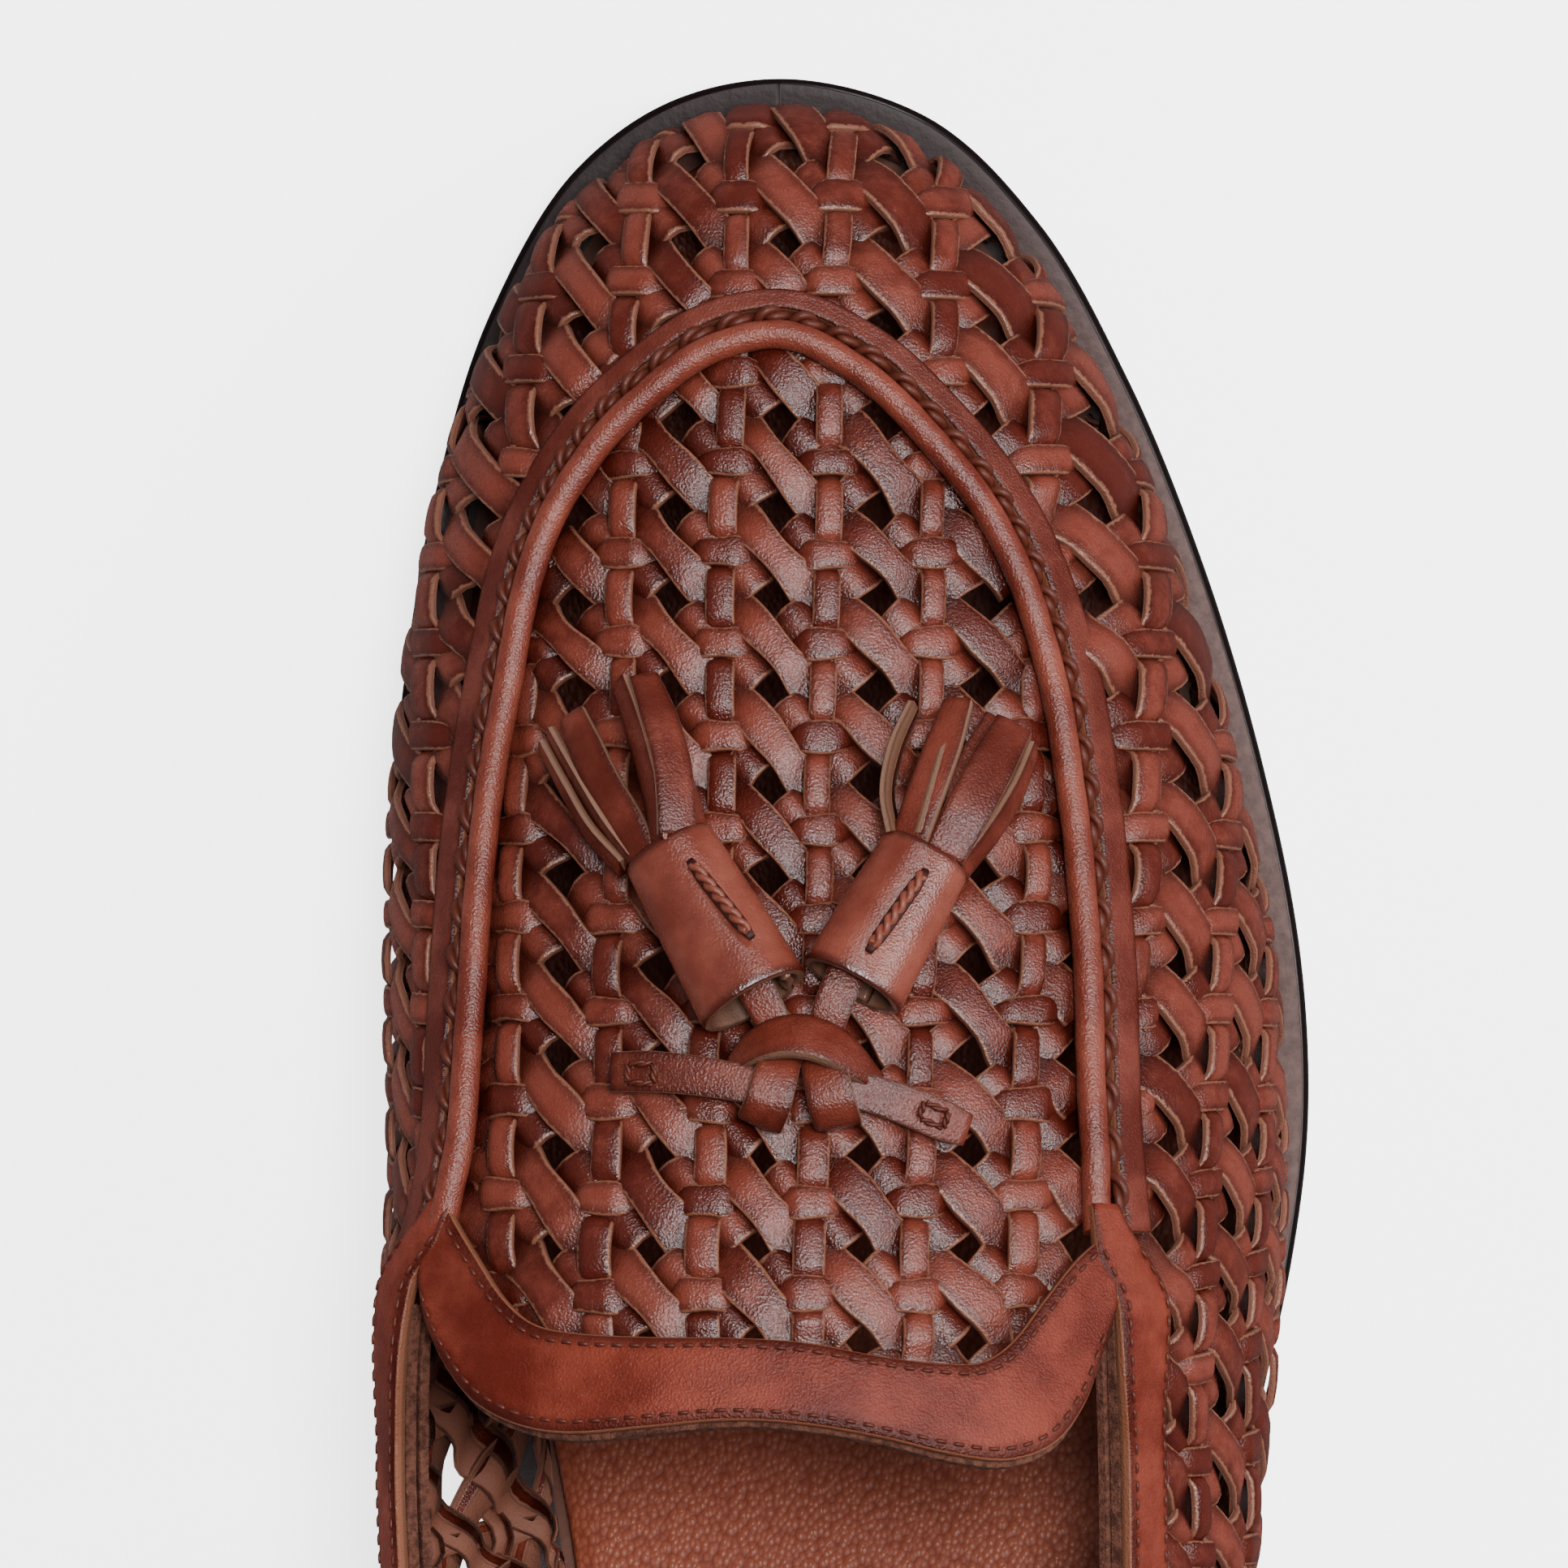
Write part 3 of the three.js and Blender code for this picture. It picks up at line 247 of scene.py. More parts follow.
wall_grid = np.zeros((WALL_U, WALL_W + 1, 3))
for k in range(WALL_U):
    wanted = np.linspace(0, run[k, -1], WALL_W + 1)
    for c in range(3):
        wall_grid[k, :, c] = np.interp(wanted, run[k], bezier[k, :, c])
along = np.roll(wall_grid, -1, axis=0) - np.roll(wall_grid, 1, axis=0)
wall_normals = np.cross(along, np.gradient(wall_grid, axis=1))
wall_normals /= np.linalg.norm(wall_normals, axis=2, keepdims=True)


def on_grid(grid, u, v):
    """A value of a grid of the wall between its points; u round the ring, v from 0 to 1 down it."""
    a = np.mod(u, RING) * WALL_U / RING
    b = v * WALL_W
    i = np.floor(a).astype(int)
    j = np.clip(np.floor(b).astype(int), 0, WALL_W - 1)
    a, b = (a - i)[..., None], (b - j)[..., None]
    i, i2 = i % WALL_U, (i + 1) % WALL_U
    near = grid[i, j] * (1 - b) + grid[i, j + 1] * b
    far = grid[i2, j] * (1 - b) + grid[i2, j + 1] * b
    return near * (1 - a) + far * a


def wall_depth(u):
    return np.interp(np.mod(u, RING), np.append(ring_places, RING), np.append(wall_length, wall_length[0]))


def wall_point(u, w, h=0.0):
    """A point of the wall: u round the ring, w down from its top edge, h out from the surface."""
    u, w, h = np.broadcast_arrays(np.asarray(u, float), np.asarray(w, float), np.asarray(h, float))
    v = w / wall_depth(u)
    normal = on_grid(wall_normals, u, v)
    normal /= np.linalg.norm(normal, axis=-1, keepdims=True)
    return on_grid(wall_grid, u, v) + normal * h[..., None]


# The woven sheet laid flat. Over the apron and the toe it is nearly the plan itself, and down the
# sides it goes on outwards, so that strips that run along the apron go over the toe and down its
# front, and those beside the foot run along it.
plan_steps = np.diff(wall_grid, axis=1)
signed_places = np.where(ring_places > HEEL, ring_places - RING, ring_places)
drop_share = np.interp(np.abs(signed_places), [0, 66, 88, 107, 150], [0.1, 0.12, 0.3, 0.5, 0.85])
step_lengths = np.linalg.norm(plan_steps, axis=2)
plan_lengths = np.linalg.norm(plan_steps[:, :, :2], axis=2)
sideways = np.stack([outward[:, 1], -outward[:, 0]], -1)
step_out = (plan_steps[:, :, :2] * outward[:, None]).sum(2)
step_out = step_out + drop_share[:, None] * (step_lengths - plan_lengths)
step_out = np.maximum(step_out, 0.3 * step_lengths)
step_aside = (plan_steps[:, :, :2] * sideways[:, None]).sum(2)
turn = smooth(np.maximum(signed_places - LATERAL_NOTCH, MEDIAL_NOTCH - signed_places), 0, 30)[:, None]
step_out = step_out * (1 - turn) + step_lengths * 0.85 * turn
step_aside = step_aside * (1 - turn)
side = np.stack([np.where(signed_places > 0, 1.0, -1.0), np.zeros(WALL_U)], -1)
sheet_out = outward * (1 - turn) + side * turn
sheet_out /= np.linalg.norm(sheet_out, axis=1, keepdims=True)
sheet_aside = np.stack([sheet_out[:, 1], -sheet_out[:, 0]], -1)
sheet_steps = sheet_out[:, None] * step_out[:, :, None] + sheet_aside[:, None] * step_aside[:, :, None]
order = np.argsort(signed_places)
sheet_top = tops[:, :2].copy()
notch_index = [int(round(LATERAL_NOTCH * WALL_U / RING)), int(round((MEDIAL_NOTCH + RING) * WALL_U / RING))]
for k in range(WALL_U):
    past = max(signed_places[k] - LATERAL_NOTCH, MEDIAL_NOTCH - signed_places[k])
    if past > 0:
        corner = tops[notch_index[0] if signed_places[k] > 0 else notch_index[1], :2]
        sheet_top[k] = corner + np.array([0, -past])
sheet_grid = np.concatenate([sheet_top[:, None], sheet_top[:, None] + np.cumsum(sheet_steps, axis=1)], 1)
# The sheet runs from the back seam on the big-toe side round to the back seam on the other side.
sheet_u = signed_places[order]
sheet_xy = sheet_grid[order]
SHEET_STEP = RING / WALL_U


def sheet_at(u, v):
    a = (u - sheet_u[0]) / SHEET_STEP
    b = v * WALL_W
    i = np.clip(np.floor(a).astype(int), 0, WALL_U - 2)
    j = np.clip(np.floor(b).astype(int), 0, WALL_W - 1)
    a, b = (a - i)[..., None], (b - j)[..., None]
    corner = sheet_xy[i, j]
    step_u = (sheet_xy[i + 1, j] - corner) * (1 - b) + (sheet_xy[i + 1, j + 1] - sheet_xy[i, j + 1]) * b
    step_v = (sheet_xy[i, j + 1] - corner) * (1 - a) + (sheet_xy[i + 1, j + 1] - sheet_xy[i + 1, j]) * a
    place = (corner * (1 - a) + sheet_xy[i + 1, j] * a) * (1 - b) \
        + (sheet_xy[i, j + 1] * (1 - a) + sheet_xy[i + 1, j + 1] * a) * b
    return place, step_u / SHEET_STEP, step_v * WALL_W


def to_wall(spots):
    """Where points of the flat sheet lie on the wall: the place round the ring and the share down it."""
    coarse = sheet_xy[::6, ::4].reshape(-1, 2)
    coarse_u = np.repeat(sheet_u[::6], sheet_xy[::6, ::4].shape[1])
    coarse_v = np.tile(np.arange(0, WALL_W + 1, 4) / WALL_W, len(sheet_u[::6]))
    flat = spots.reshape(-1, 2)
    u, v = np.zeros(len(flat)), np.zeros(len(flat))
    for start in range(0, len(flat), 4000):
        part = flat[start:start + 4000]
        nearest = np.argmin(((part[:, None] - coarse[None]) ** 2).sum(2), axis=1)
        u[start:start + 4000] = coarse_u[nearest]
        v[start:start + 4000] = coarse_v[nearest]
    for _ in range(8):
        place, step_u, step_v = sheet_at(u, v)
        miss = flat - place
        area = step_u[:, 0] * step_v[:, 1] - step_u[:, 1] * step_v[:, 0]
        area = np.where(np.abs(area) < 1e-6, 1e-6, area)
        u = u + np.clip((miss[:, 0] * step_v[:, 1] - miss[:, 1] * step_v[:, 0]) / area, -12, 12)
        v = v + np.clip((step_u[:, 0] * miss[:, 1] - step_u[:, 1] * miss[:, 0]) / area, -0.3, 0.3)
        u = np.clip(u, sheet_u[0] - 4, sheet_u[-1] + 4)
        v = np.clip(v, -0.3, 1.3)
    missed = np.linalg.norm(flat - sheet_at(u, v)[0], axis=1)
    shape = spots.shape[:-1]
    return u.reshape(shape), v.reshape(shape), missed.reshape(shape)


# Each strip is a ribbon about a millimetre thick: rounded on its grain side, cut square at the edges
# and rough underneath. A ribbon is a row of cross sections, so all four sets are made the same way.
COLUMN = 11.6
ROW = 10.25
FIRST_COLUMN = 1.12
FIRST_ROW = -3.32
TURNS = 14
chance = np.random.default_rng(7)
knot_shift = chance.uniform(-1, 1, (64, 64, 2)) * (0.62, 0.55)

ring_fine = np.linspace(MEDIAL_NOTCH, LATERAL_NOTCH, 600)
seam_line = wall_point(ring_fine, 0)[:, :2]
apron_rim = np.concatenate([seam_line, [[34.0, -20.0], [-43.0, -20.0]]])
THROAT = np.array([
    (-42.5, 12.6, -40.1, 23.5), (-41.6, 8.5, -39.0, 20.3), (-38.9, 3.5, -35.6, 15.3),
    (-35.2, -0.4, -32.4, 11.1), (-29.9, -2.7, -28.8, 8.4), (-24.0, -3.3, -24.0, 7.5),
    (-16.0, -2.5, -16.0, 7.2), (-7.0, -1.6, -7.0, 7.2), (1.0, -2.0, 1.0, 6.7), (9.0, -3.4, 9.0, 5.2),
    (16.5, -5.3, 15.4, 4.4), (22.5, -6.1, 19.6, 4.5), (27.2, -4.5, 22.8, 6.7), (30.2, -0.6, 26.0, 11.1),
    (31.9, 4.2, 29.4, 15.5), (33.4, 9.5, 32.9, 18.5),
])
throat_curve = curve_through(np.arange(len(THROAT)), THROAT)
throat_fine = throat_curve(np.linspace(0, len(THROAT) - 1, 200))


def apart(spots, line):
    """How far each spot is from a line of points."""
    found = np.empty(spots.shape[:-1])
    flat, out = spots.reshape(-1, 2), found.reshape(-1)
    for start in range(0, len(flat), 4000):
        part = flat[start:start + 4000]
        out[start:start + 4000] = np.sqrt(((part[:, None] - line[None]) ** 2).sum(2).min(1))
    return out.reshape(spots.shape[:-1])


def within(spots, line):
    """True for spots inside a closed line of points."""
    x, y = spots[..., 0], spots[..., 1]
    inside = np.zeros(x.shape, bool)
    for (ax, ay), (bx, by) in zip(line, np.roll(line, -1, axis=0)):
        if ay != by:
            crosses = ((ay > y) != (by > y)) & (x < ax + (y - ay) * (bx - ax) / (by - ay))
            inside ^= crosses
    return inside


def sheet_spot(i, j):
    """A place of the flat sheet: column i and node row j, with the small shifts of handwork."""
    a, b = i + 20.0, j + 34.0
    k, m = np.clip(np.floor(a).astype(int), 0, 62), np.clip(np.floor(b).astype(int), 0, 62)
    a, b = np.clip(a - k, 0, 1), np.clip(b - m, 0, 1)
    a, b = (a * a * (3 - 2 * a))[..., None], (b * b * (3 - 2 * b))[..., None]
    shift = (knot_shift[k, m] * (1 - a) + knot_shift[k + 1, m] * a) * (1 - b) \
        + (knot_shift[k, m + 1] * (1 - a) + knot_shift[k + 1, m + 1] * a) * b
    return np.stack([FIRST_COLUMN + COLUMN * i, FIRST_ROW + ROW * j], -1) + shift


def fullness(u, v):
    """How much further out the finished weave swells on the little-toe side and the big toe."""
    outer = smooth(u, 15, 60) * (1 - 0.5 * smooth(u, 135, 200)) * (1 - smooth(u, 200, 300))
    inner = smooth(-u, 8, 35) * (1 - smooth(-u, 70, 110))
    return 1.9 * (outer + inner) * np.sin(np.pi * np.clip(v, 0, 1)) ** 0.8


def band_edge(u):
    """How far down from the seam the flat band beside it reaches."""
    return np.interp(np.abs(u), [0, 25, 70], [4.3, 4.8, 6.2])


def from_middle(x):
    """Distance of x from the nearest whole number."""
    return np.abs(x - np.round(x))


def lengthwise_strip(k):
    j = np.arange(-19 * TURNS, 15 * TURNS) / TURNS
    d = from_middle(j) * ROW
    rise = -0.85 + 1.8 * (1 - smooth(d, 2.3, 4.6)) + 0.3 * (1 - np.clip(d / 3, 0, 1) ** 2)
    return np.full_like(j, k), j, rise, np.full_like(j, 1.36), np.round(j)


def cross_strip(m):
    i = np.arange(-10 * TURNS, 10 * TURNS) / TURNS
    d = from_middle(i) * COLUMN
    rise = -0.95 + 1.95 * (1 - smooth(d, 1.5, 4.7))
    half = 1.62 - 0.55 * smooth(d, 1.9, 3.8)
    return i, np.full_like(i, m + 0.5), rise, half, np.round(i)


def falling_strip(k):
    t = np.arange(-24 * TURNS, 24 * TURNS) / TURNS
    part = (t - np.floor(t) - 0.5) * 2
    swing = 1.22 * part - 0.22 * part ** 5
    d = np.abs(part) * COLUMN / 2
    rise = -0.75 + 1.7 * (1 - smooth(d, 1.2, 5.4))
    half = 1.92 + 0.34 * smooth(d, 1.6, 4.6)
    return t + k, -(np.floor(t) + 0.5 + swing / 2), rise, half, np.floor(t)


def rising_strip(k):
    t = np.arange(-24 * TURNS, 24 * TURNS) / TURNS
    d = np.abs(t - np.floor(t) - 0.5) * COLUMN
    rise = -1.3 + 1.7 * smooth(d, 0.2, 2.9) * (1 - smooth(d, 3.2, 5.6))
    return t + k, t, rise, np.full_like(t, 2.0), np.floor(t * 2)


# The ribbon's section: where each point lies across it, from edge to edge over the top and back under.
SECTION_ACROSS = np.array([-1, -0.93, -0.72, -0.3, 0.3, 0.72, 0.93, 1, 0.98, 0, -0.98])
SECTION_TAG = np.array([-1, -0.93, -0.72, -0.3, 0.3, 0.72, 0.93, 1, 2, 2, -2])
SECTION_RISE = np.array([-0.34, -0.19, -0.08, 0, 0, -0.08, -0.19, -0.34, 0, 0, 0])
SECTION_UNDER = np.array([0, 0, 0, 0, 0, 0, 0, 0, 1, 1, 1.0])
STRIP_THICK = 0.95


def leather_piece(name, runs, slot, material, *nodes):
    """Join rows of cross sections into one piece. Each row has its points, how far across the strip each
    lies (over 1 on the flesh side), a tone, and a level, which is how high a woven strip rides or how
    many millimetres the nearest edge of a polished piece is away. The leather looks at all three."""
    points, faces, rounded, tags, tones, levels, start = [], [], [], [], [], [], 0
    for run, tag, tone, level in runs:
        n, count = run.shape[:2]
        k = np.arange(n - 1)[:, None] * count + start
        c = np.arange(count)[None]
        d = (c + 1) % count
        faces += np.stack([k + c, k + count + c, k + count + d, k + d], -1).reshape(-1, 4).tolist()
        last = start + (n - 1) * count
        faces += [list(range(start, start + count)), list(range(last + count - 1, last - 1, -1))]
        grain_side = np.abs(np.broadcast_to(tag, (n, count))[n // 2]) < 1.01
        rounded += np.tile(grain_side == np.roll(grain_side, -1), n - 1).tolist() + [False, False]
        points.append(run.reshape(-1, 3))
        tags.append(np.broadcast_to(tag, (n, count)).ravel())
        tones.append(np.broadcast_to(tone, (n, count)).ravel())
        levels.append(np.broadcast_to(level, (n, count)).ravel())
        start += n * count
    mesh = bpy.data.meshes.new(name)
    mesh.from_pydata((np.concatenate(points) * MM).tolist(), [], faces)
    made = bmesh.new()
    made.from_mesh(mesh)
    bmesh.ops.recalc_face_normals(made, faces=made.faces)
    made.to_mesh(mesh)
    made.free()
    mesh.polygons.foreach_set("use_smooth", rounded)
    for title, rows in (("across", tags), ("tone", tones), ("level", levels)):
        values = mesh.attributes.new(title, "FLOAT", "POINT")
        values.data.foreach_set("value", np.concatenate(rows).astype(np.float32))
    mesh.materials.append(material)
    piece = bpy.data.objects.new(name, mesh)
    bpy.context.scene.collection.objects.link(piece)
    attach(piece, "root")
    if nodes:
        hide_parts(*nodes)


def make_strips(name, family, numbers, dome, on_apron):
    """Lay one set of strips over the apron or the wall, and join them as one piece."""
    runs = []
    for number in numbers:
        i, j, rise, half, cell = family(number)
        half = half * ((1.02 if on_apron else 1.06) + 0.1 * chance.uniform(-1, 1))
        rise = rise + 0.06 * chance.uniform(-1, 1)
        spots = sheet_spot(i, j)
        if on_apron:
            near_throat = smooth(-spots[:, 1], -48, -18)
            half = half * (1 + 0.2 * near_throat + 0.1 * np.sin(spots[:, 0] * 0.9 + number))
            ok = within(spots, apron_rim) & (apart(spots, seam_line) > 0.5)
            edge = throat_curve(np.interp(spots[:, 0], throat_fine[:, 0], np.linspace(0, 15, 200)))
            ok &= spots[:, 1] > (edge[:, 1] + edge[:, 3]) / 2 - 1.5
        else:
            u, v, missed = to_wall(spots)
            w = v * wall_depth(u)
            ok = (missed < 0.3) & (w > 4.2) & (v < 1.2)
        edges = np.flatnonzero(np.diff(np.concatenate([[0], ok.astype(int), [0]])))
        for start, end in zip(edges[::2], edges[1::2]):
            if end - start > 3:
                runs.append((spots[start:end], rise[start:end], half[start:end],
                             cell[start:end] * 7.13 + number * 3.71))
    centres = np.concatenate([r[0] for r in runs])
    ways = np.concatenate([np.gradient(r[0], axis=0) for r in runs])
    ways /= np.linalg.norm(ways, axis=1, keepdims=True)
    rise = np.concatenate([r[1] for r in runs])
    half = np.concatenate([r[2] for r in runs])
    cell = np.concatenate([r[3] for r in runs])
    aside = np.stack([ways[:, 1], -ways[:, 0]], -1)
    spots = centres[:, None] + aside[:, None] * (SECTION_ACROSS[None] * half[:, None])[..., None]
    if on_apron:
        clear = np.minimum(apart(centres, seam_line) - 1.9, apart(centres, throat_fine[:, 2:4]) - 0.4)
    else:
        u, v, missed = to_wall(spots)
        v = np.where(v > 0.96, 0.96 + 0.07 * (1 - np.exp(-(v - 0.96) / 0.07)), v)
        w = v * wall_depth(u)
        clear = w[:, 3] - np.where(np.abs(u[:, 3]) < LATERAL_NOTCH - 8, band_edge(u[:, 3]), 8.6)
    lift = smooth(clear, -0.2, 2.4)
    rise = np.where(rise > -0.6, -0.6 + (rise + 0.6) * (0.3 + 0.7 * lift), rise)
    height = rise[:, None] + SECTION_RISE * (dome / 0.3) - STRIP_THICK * SECTION_UNDER
    if on_apron:
        points = apron_point(spots[..., 0], spots[..., 1], height)
    else:
        points = wall_point(u, w, height + fullness(u, v))
    made, start = [], 0
    for r in runs:
        stop = start + len(r[0])
        tones = np.mod(np.sin(cell[start:stop, None] * 12.9898) * 43758.5453, 1.0)
        made.append((points[start:stop], SECTION_TAG, tones, rise[start:stop, None]))
        start = stop
    leather_piece(name, made, "woven_leather", woven.material, "upper")


class Socket:
    """An output of a shader node that takes part in plain sums."""

    def __init__(self, look, output):
        self.look = look
        self.output = output

    def sum(self, kind, first, second):
        return self.look.node("ShaderNodeMath", {"operation": kind}, {0: first, 1: second})

    def __add__(self, other):
        return self.sum("ADD", self, other)

    def __sub__(self, other):
        return self.sum("SUBTRACT", self, other)

    def __rsub__(self, other):
        return self.sum("SUBTRACT", other, self)

    def __mul__(self, other):
        return self.sum("MULTIPLY", self, other)

    def __abs__(self):
        return self.sum("ABSOLUTE", self, 0.0)


class Look:
    """A material in the making, with one way to add any node to it."""

    def __init__(self, name, **settings):
        self.material = bpy.data.materials.new(name)
        self.material.use_nodes = True
        self.tree = self.material.node_tree
        self.shader = self.tree.nodes["Principled BSDF"]
        self.place = self.node("ShaderNodeTexCoord", output="Object")
        self.set(**settings)

    def feed(self, socket, value):
        if isinstance(value, Socket):
            self.tree.links.new(value.output, socket)
        else:
            socket.default_value = value

    def node(self, kind, settings=None, inputs=None, output=0):
        made = self.tree.nodes.new(kind)
        for name, value in (settings or {}).items():
            setattr(made, name, value)
        for name, value in (inputs or {}).items():
            self.feed(made.inputs[name], value)
        return Socket(self, made.outputs[output])

    def mix(self, share, first, second):
        return self.node("ShaderNodeMix", {"data_type": "RGBA"}, {0: share, 6: first, 7: second}, 2)

    def range(self, value, low, high, out_low=0.0, out_high=1.0):
        return self.node("ShaderNodeMapRange", {"interpolation_type": "SMOOTHSTEP"},
                         {0: value, 1: low, 2: high, 3: out_low, 4: out_high})

    def noise(self, scale, detail=2.0, rough=0.5):
        return self.node("ShaderNodeTexNoise", {},
                         {"Vector": self.place, "Scale": scale, "Detail": detail, "Roughness": rough})

    def cells(self, scale, place=None):
        return self.node("ShaderNodeTexVoronoi", {}, {"Vector": place or self.place, "Scale": scale})

    def value(self, name):
        return self.node("ShaderNodeAttribute", {"attribute_name": name}, output="Fac")

    def bump(self, height, distance, strength):
        return self.node("ShaderNodeBump", {}, {"Height": height, "Distance": distance, "Strength": strength})

    def set(self, **settings):
        for name, value in settings.items():
            self.feed(self.shader.inputs[name.replace("_", " ")], value)


def rgb(red, green, blue):
    """A colour as it shows under this light, 0 to 255, for a shader."""
    return tuple(0.42 * (c / 255) ** 2.2 for c in (red, green, blue)) + (1.0,)


def grain_bump(look):
    """Calf grain: pores and short creases a third of a millimetre apart."""
    pores = look.cells(3300)
    creases = look.noise(2900, 3.0, 0.7)
    return pores * 0.6 + creases


# Cognac calf, dyed and polished by hand, with a thin raw tan line at the cut edges and brown suede
# underneath. Painted shade makes it redder and darker where a strip dips under the others (paler where
# it rides high) and towards each strip's edges.
woven = Look("woven_cognac_leather", Specular_IOR_Level=0.38)
across = abs(woven.value("across"))
level = woven.value("level")
tone = woven.value("tone")
blotches = woven.noise(300, 4.0, 0.7)
dye_and_painted_shade = woven.mix(woven.range(blotches + tone * 0.6, 0.5, 1.05), rgb(96, 37, 28), rgb(138, 65, 51))
# Painted shade: darker towards each strip's edges, where the strips meet and fall into shade.
dye_and_painted_shade = woven.mix(woven.range(across, 0.3, 0.85) * 0.55, dye_and_painted_shade, rgb(68, 22, 15))
# Painted shade: redder and darker the lower a strip dips under the others, darkest in the gaps.
dye_and_painted_shade = woven.mix(woven.range(level, -1.0, 0.7) * 0.88 + 0.12, rgb(44, 14, 9), dye_and_painted_shade)
fibres = woven.noise(1500, 3.0)
raw_line = woven.range(across + fibres * 0.3, 0.96, 1.08) * woven.range(across, 1.7, 1.2)
# Painted shade as well: the raw tan line is dimmed where the strip dips.
dye_and_painted_shade = woven.mix(raw_line * woven.range(level, -0.9, 0.4, 0.2, 0.75), dye_and_painted_shade, rgb(160, 106, 84))
dye_and_painted_shade = woven.mix(woven.range(across, 1.4, 1.8), dye_and_painted_shade, rgb(140, 84, 64))
under = woven.range(across, 1.0, 1.3)
woven.set(Base_Color=dye_and_painted_shade,
          Roughness=woven.range(blotches + tone * 0.3, 0.4, 1.0, 0.2, 0.32) + under * 0.5,
          Normal=woven.bump(grain_bump(woven), 0.00012, 0.8))

# Numbers of each set's strips, enough to cover the whole flat sheet.
for place, on_apron in (("apron", True), ("wall", False)):
    make_strips("lengthwise_strips_" + place, lengthwise_strip, range(-9, 10), 0.42, on_apron)
    make_strips("cross_strips_" + place, cross_strip, range(-18, 15), 0.36, on_apron)
    make_strips("falling_strips_" + place, falling_strip, range(-26, 24), 0.22, on_apron)
    make_strips("rising_strips_" + place, rising_strip, range(-22, 28), 0.25, on_apron)


# The seam round the apron: a rolled cord covered in polished calf, the chunky hand stitches in the
# groove on its outer side, and a narrow folded strip that hides the ends of the wall's weave.
def way_out(line, up):
    """Directions along a line, square to it, and up from it."""
    way = np.gradient(line, axis=0)
    way /= np.linalg.norm(way, axis=1, keepdims=True)
    aside = np.cross(way, up)
    aside /= np.linalg.norm(aside, axis=1, keepdims=True)
    return way, aside, np.cross(aside, way)


def tube(line, radius, up, sides=10, tag=0.0, tone=0.5, level=9.0):
    """Cross sections of a round cord along a line."""
    aside, over = way_out(line, up)[1:]
    turn = np.linspace(0, 2 * np.pi, sides, endpoint=False)
    radius = np.broadcast_to(radius, len(line))
    points = (line[:, None] + aside[:, None] * (np.cos(turn)[None] * radius[:, None])[..., None]
              + over[:, None] * (np.sin(turn)[None] * radius[:, None])[..., None])
    return points, np.full(sides, tag), tone, level


PLIES = 2


def plied_cord(line, radius, up, turns, tone=0.5):
    """A short length of twisted thread: two plies laid round each other."""
    aside, over = way_out(line, up)[1:]
    found = []
    for k in range(PLIES):
        angle = np.linspace(0, turns * 2 * np.pi, len(line)) + k * 2 * np.pi / PLIES
        strand = line + (aside * np.cos(angle)[:, None] + over * np.sin(angle)[:, None]) * radius * 0.5
        found.append(tube(strand, radius * 0.62, up, 6, 0.0, tone))
    return found


def apron_up(points):
    x, y = points[..., 0], points[..., 1]
    slope_x = apron_height(x + 0.5, y) - apron_height(x - 0.5, y)
    slope_y = apron_height(x, y + 0.5) - apron_height(x, y - 0.5)
    up = np.stack([-slope_x, -slope_y, np.ones_like(x)], -1)
    return up / np.linalg.norm(up, axis=-1, keepdims=True)


def polished_calf(name, light, dark, gloss, shine, grain=1.0, raw=rgb(150, 92, 68)):
    """Polished calf with the same grain, burnished dark along its edges; its cut edges are raw tan."""
    look = Look(name, Specular_IOR_Level=shine)
    across = abs(look.value("across"))
    clouds = look.noise(90, 4.0, 0.6)
    base = look.mix(look.range(clouds, 0.35, 0.68), dark, light)
    base = look.mix(look.range(look.noise(420, 3.0, 0.7), 0.56, 0.72) * 0.3, base, dark)
    base = look.mix(look.range(look.value("level") + clouds, 2.2, 0.6) * 0.75, base, rgb(58, 16, 10))
    base = look.mix(look.range(across, 0.96, 1.0) * look.range(across, 2.0, 1.6), base, raw)
    base = look.mix(look.range(across, 1.4, 1.8), base, rgb(110, 70, 50))
    look.set(Base_Color=base,
             Roughness=look.range(clouds, 0.3, 0.7, gloss, gloss + 0.1) + look.range(across, 1.0, 1.3) * 0.4,
             Normal=look.bump(grain_bump(look) * grain + look.noise(330, 3.0, 0.6) * 0.3, 0.00016, 0.75))
    return look


seam_u = np.linspace(MEDIAL_NOTCH + 6, LATERAL_NOTCH - 7, 420)
seam_top = wall_point(seam_u, -0.75)
seam_up = apron_up(seam_top)
fade = smooth(seam_u, seam_u[0], seam_u[0] + 9) * smooth(-seam_u, -seam_u[-1], 9 - seam_u[-1])
piping_line = seam_top + seam_up * (0.2 + 1.15 * fade)[:, None]
piping_line += seam_up * (0.05 * np.sin(seam_u * 0.37) + 0.015 * np.sin(seam_u * 1.3 + 1))[:, None]
piping_look = polished_calf("piping_calf", rgb(152, 74, 57), rgb(114, 47, 36), 0.24, 0.4)
leather_piece("rolled_piping", [tube(piping_line, 1.66 + 0.02 * np.sin(seam_u * 0.9), seam_up, 16)],
              "smooth_leather", piping_look.material, "apron_piping")


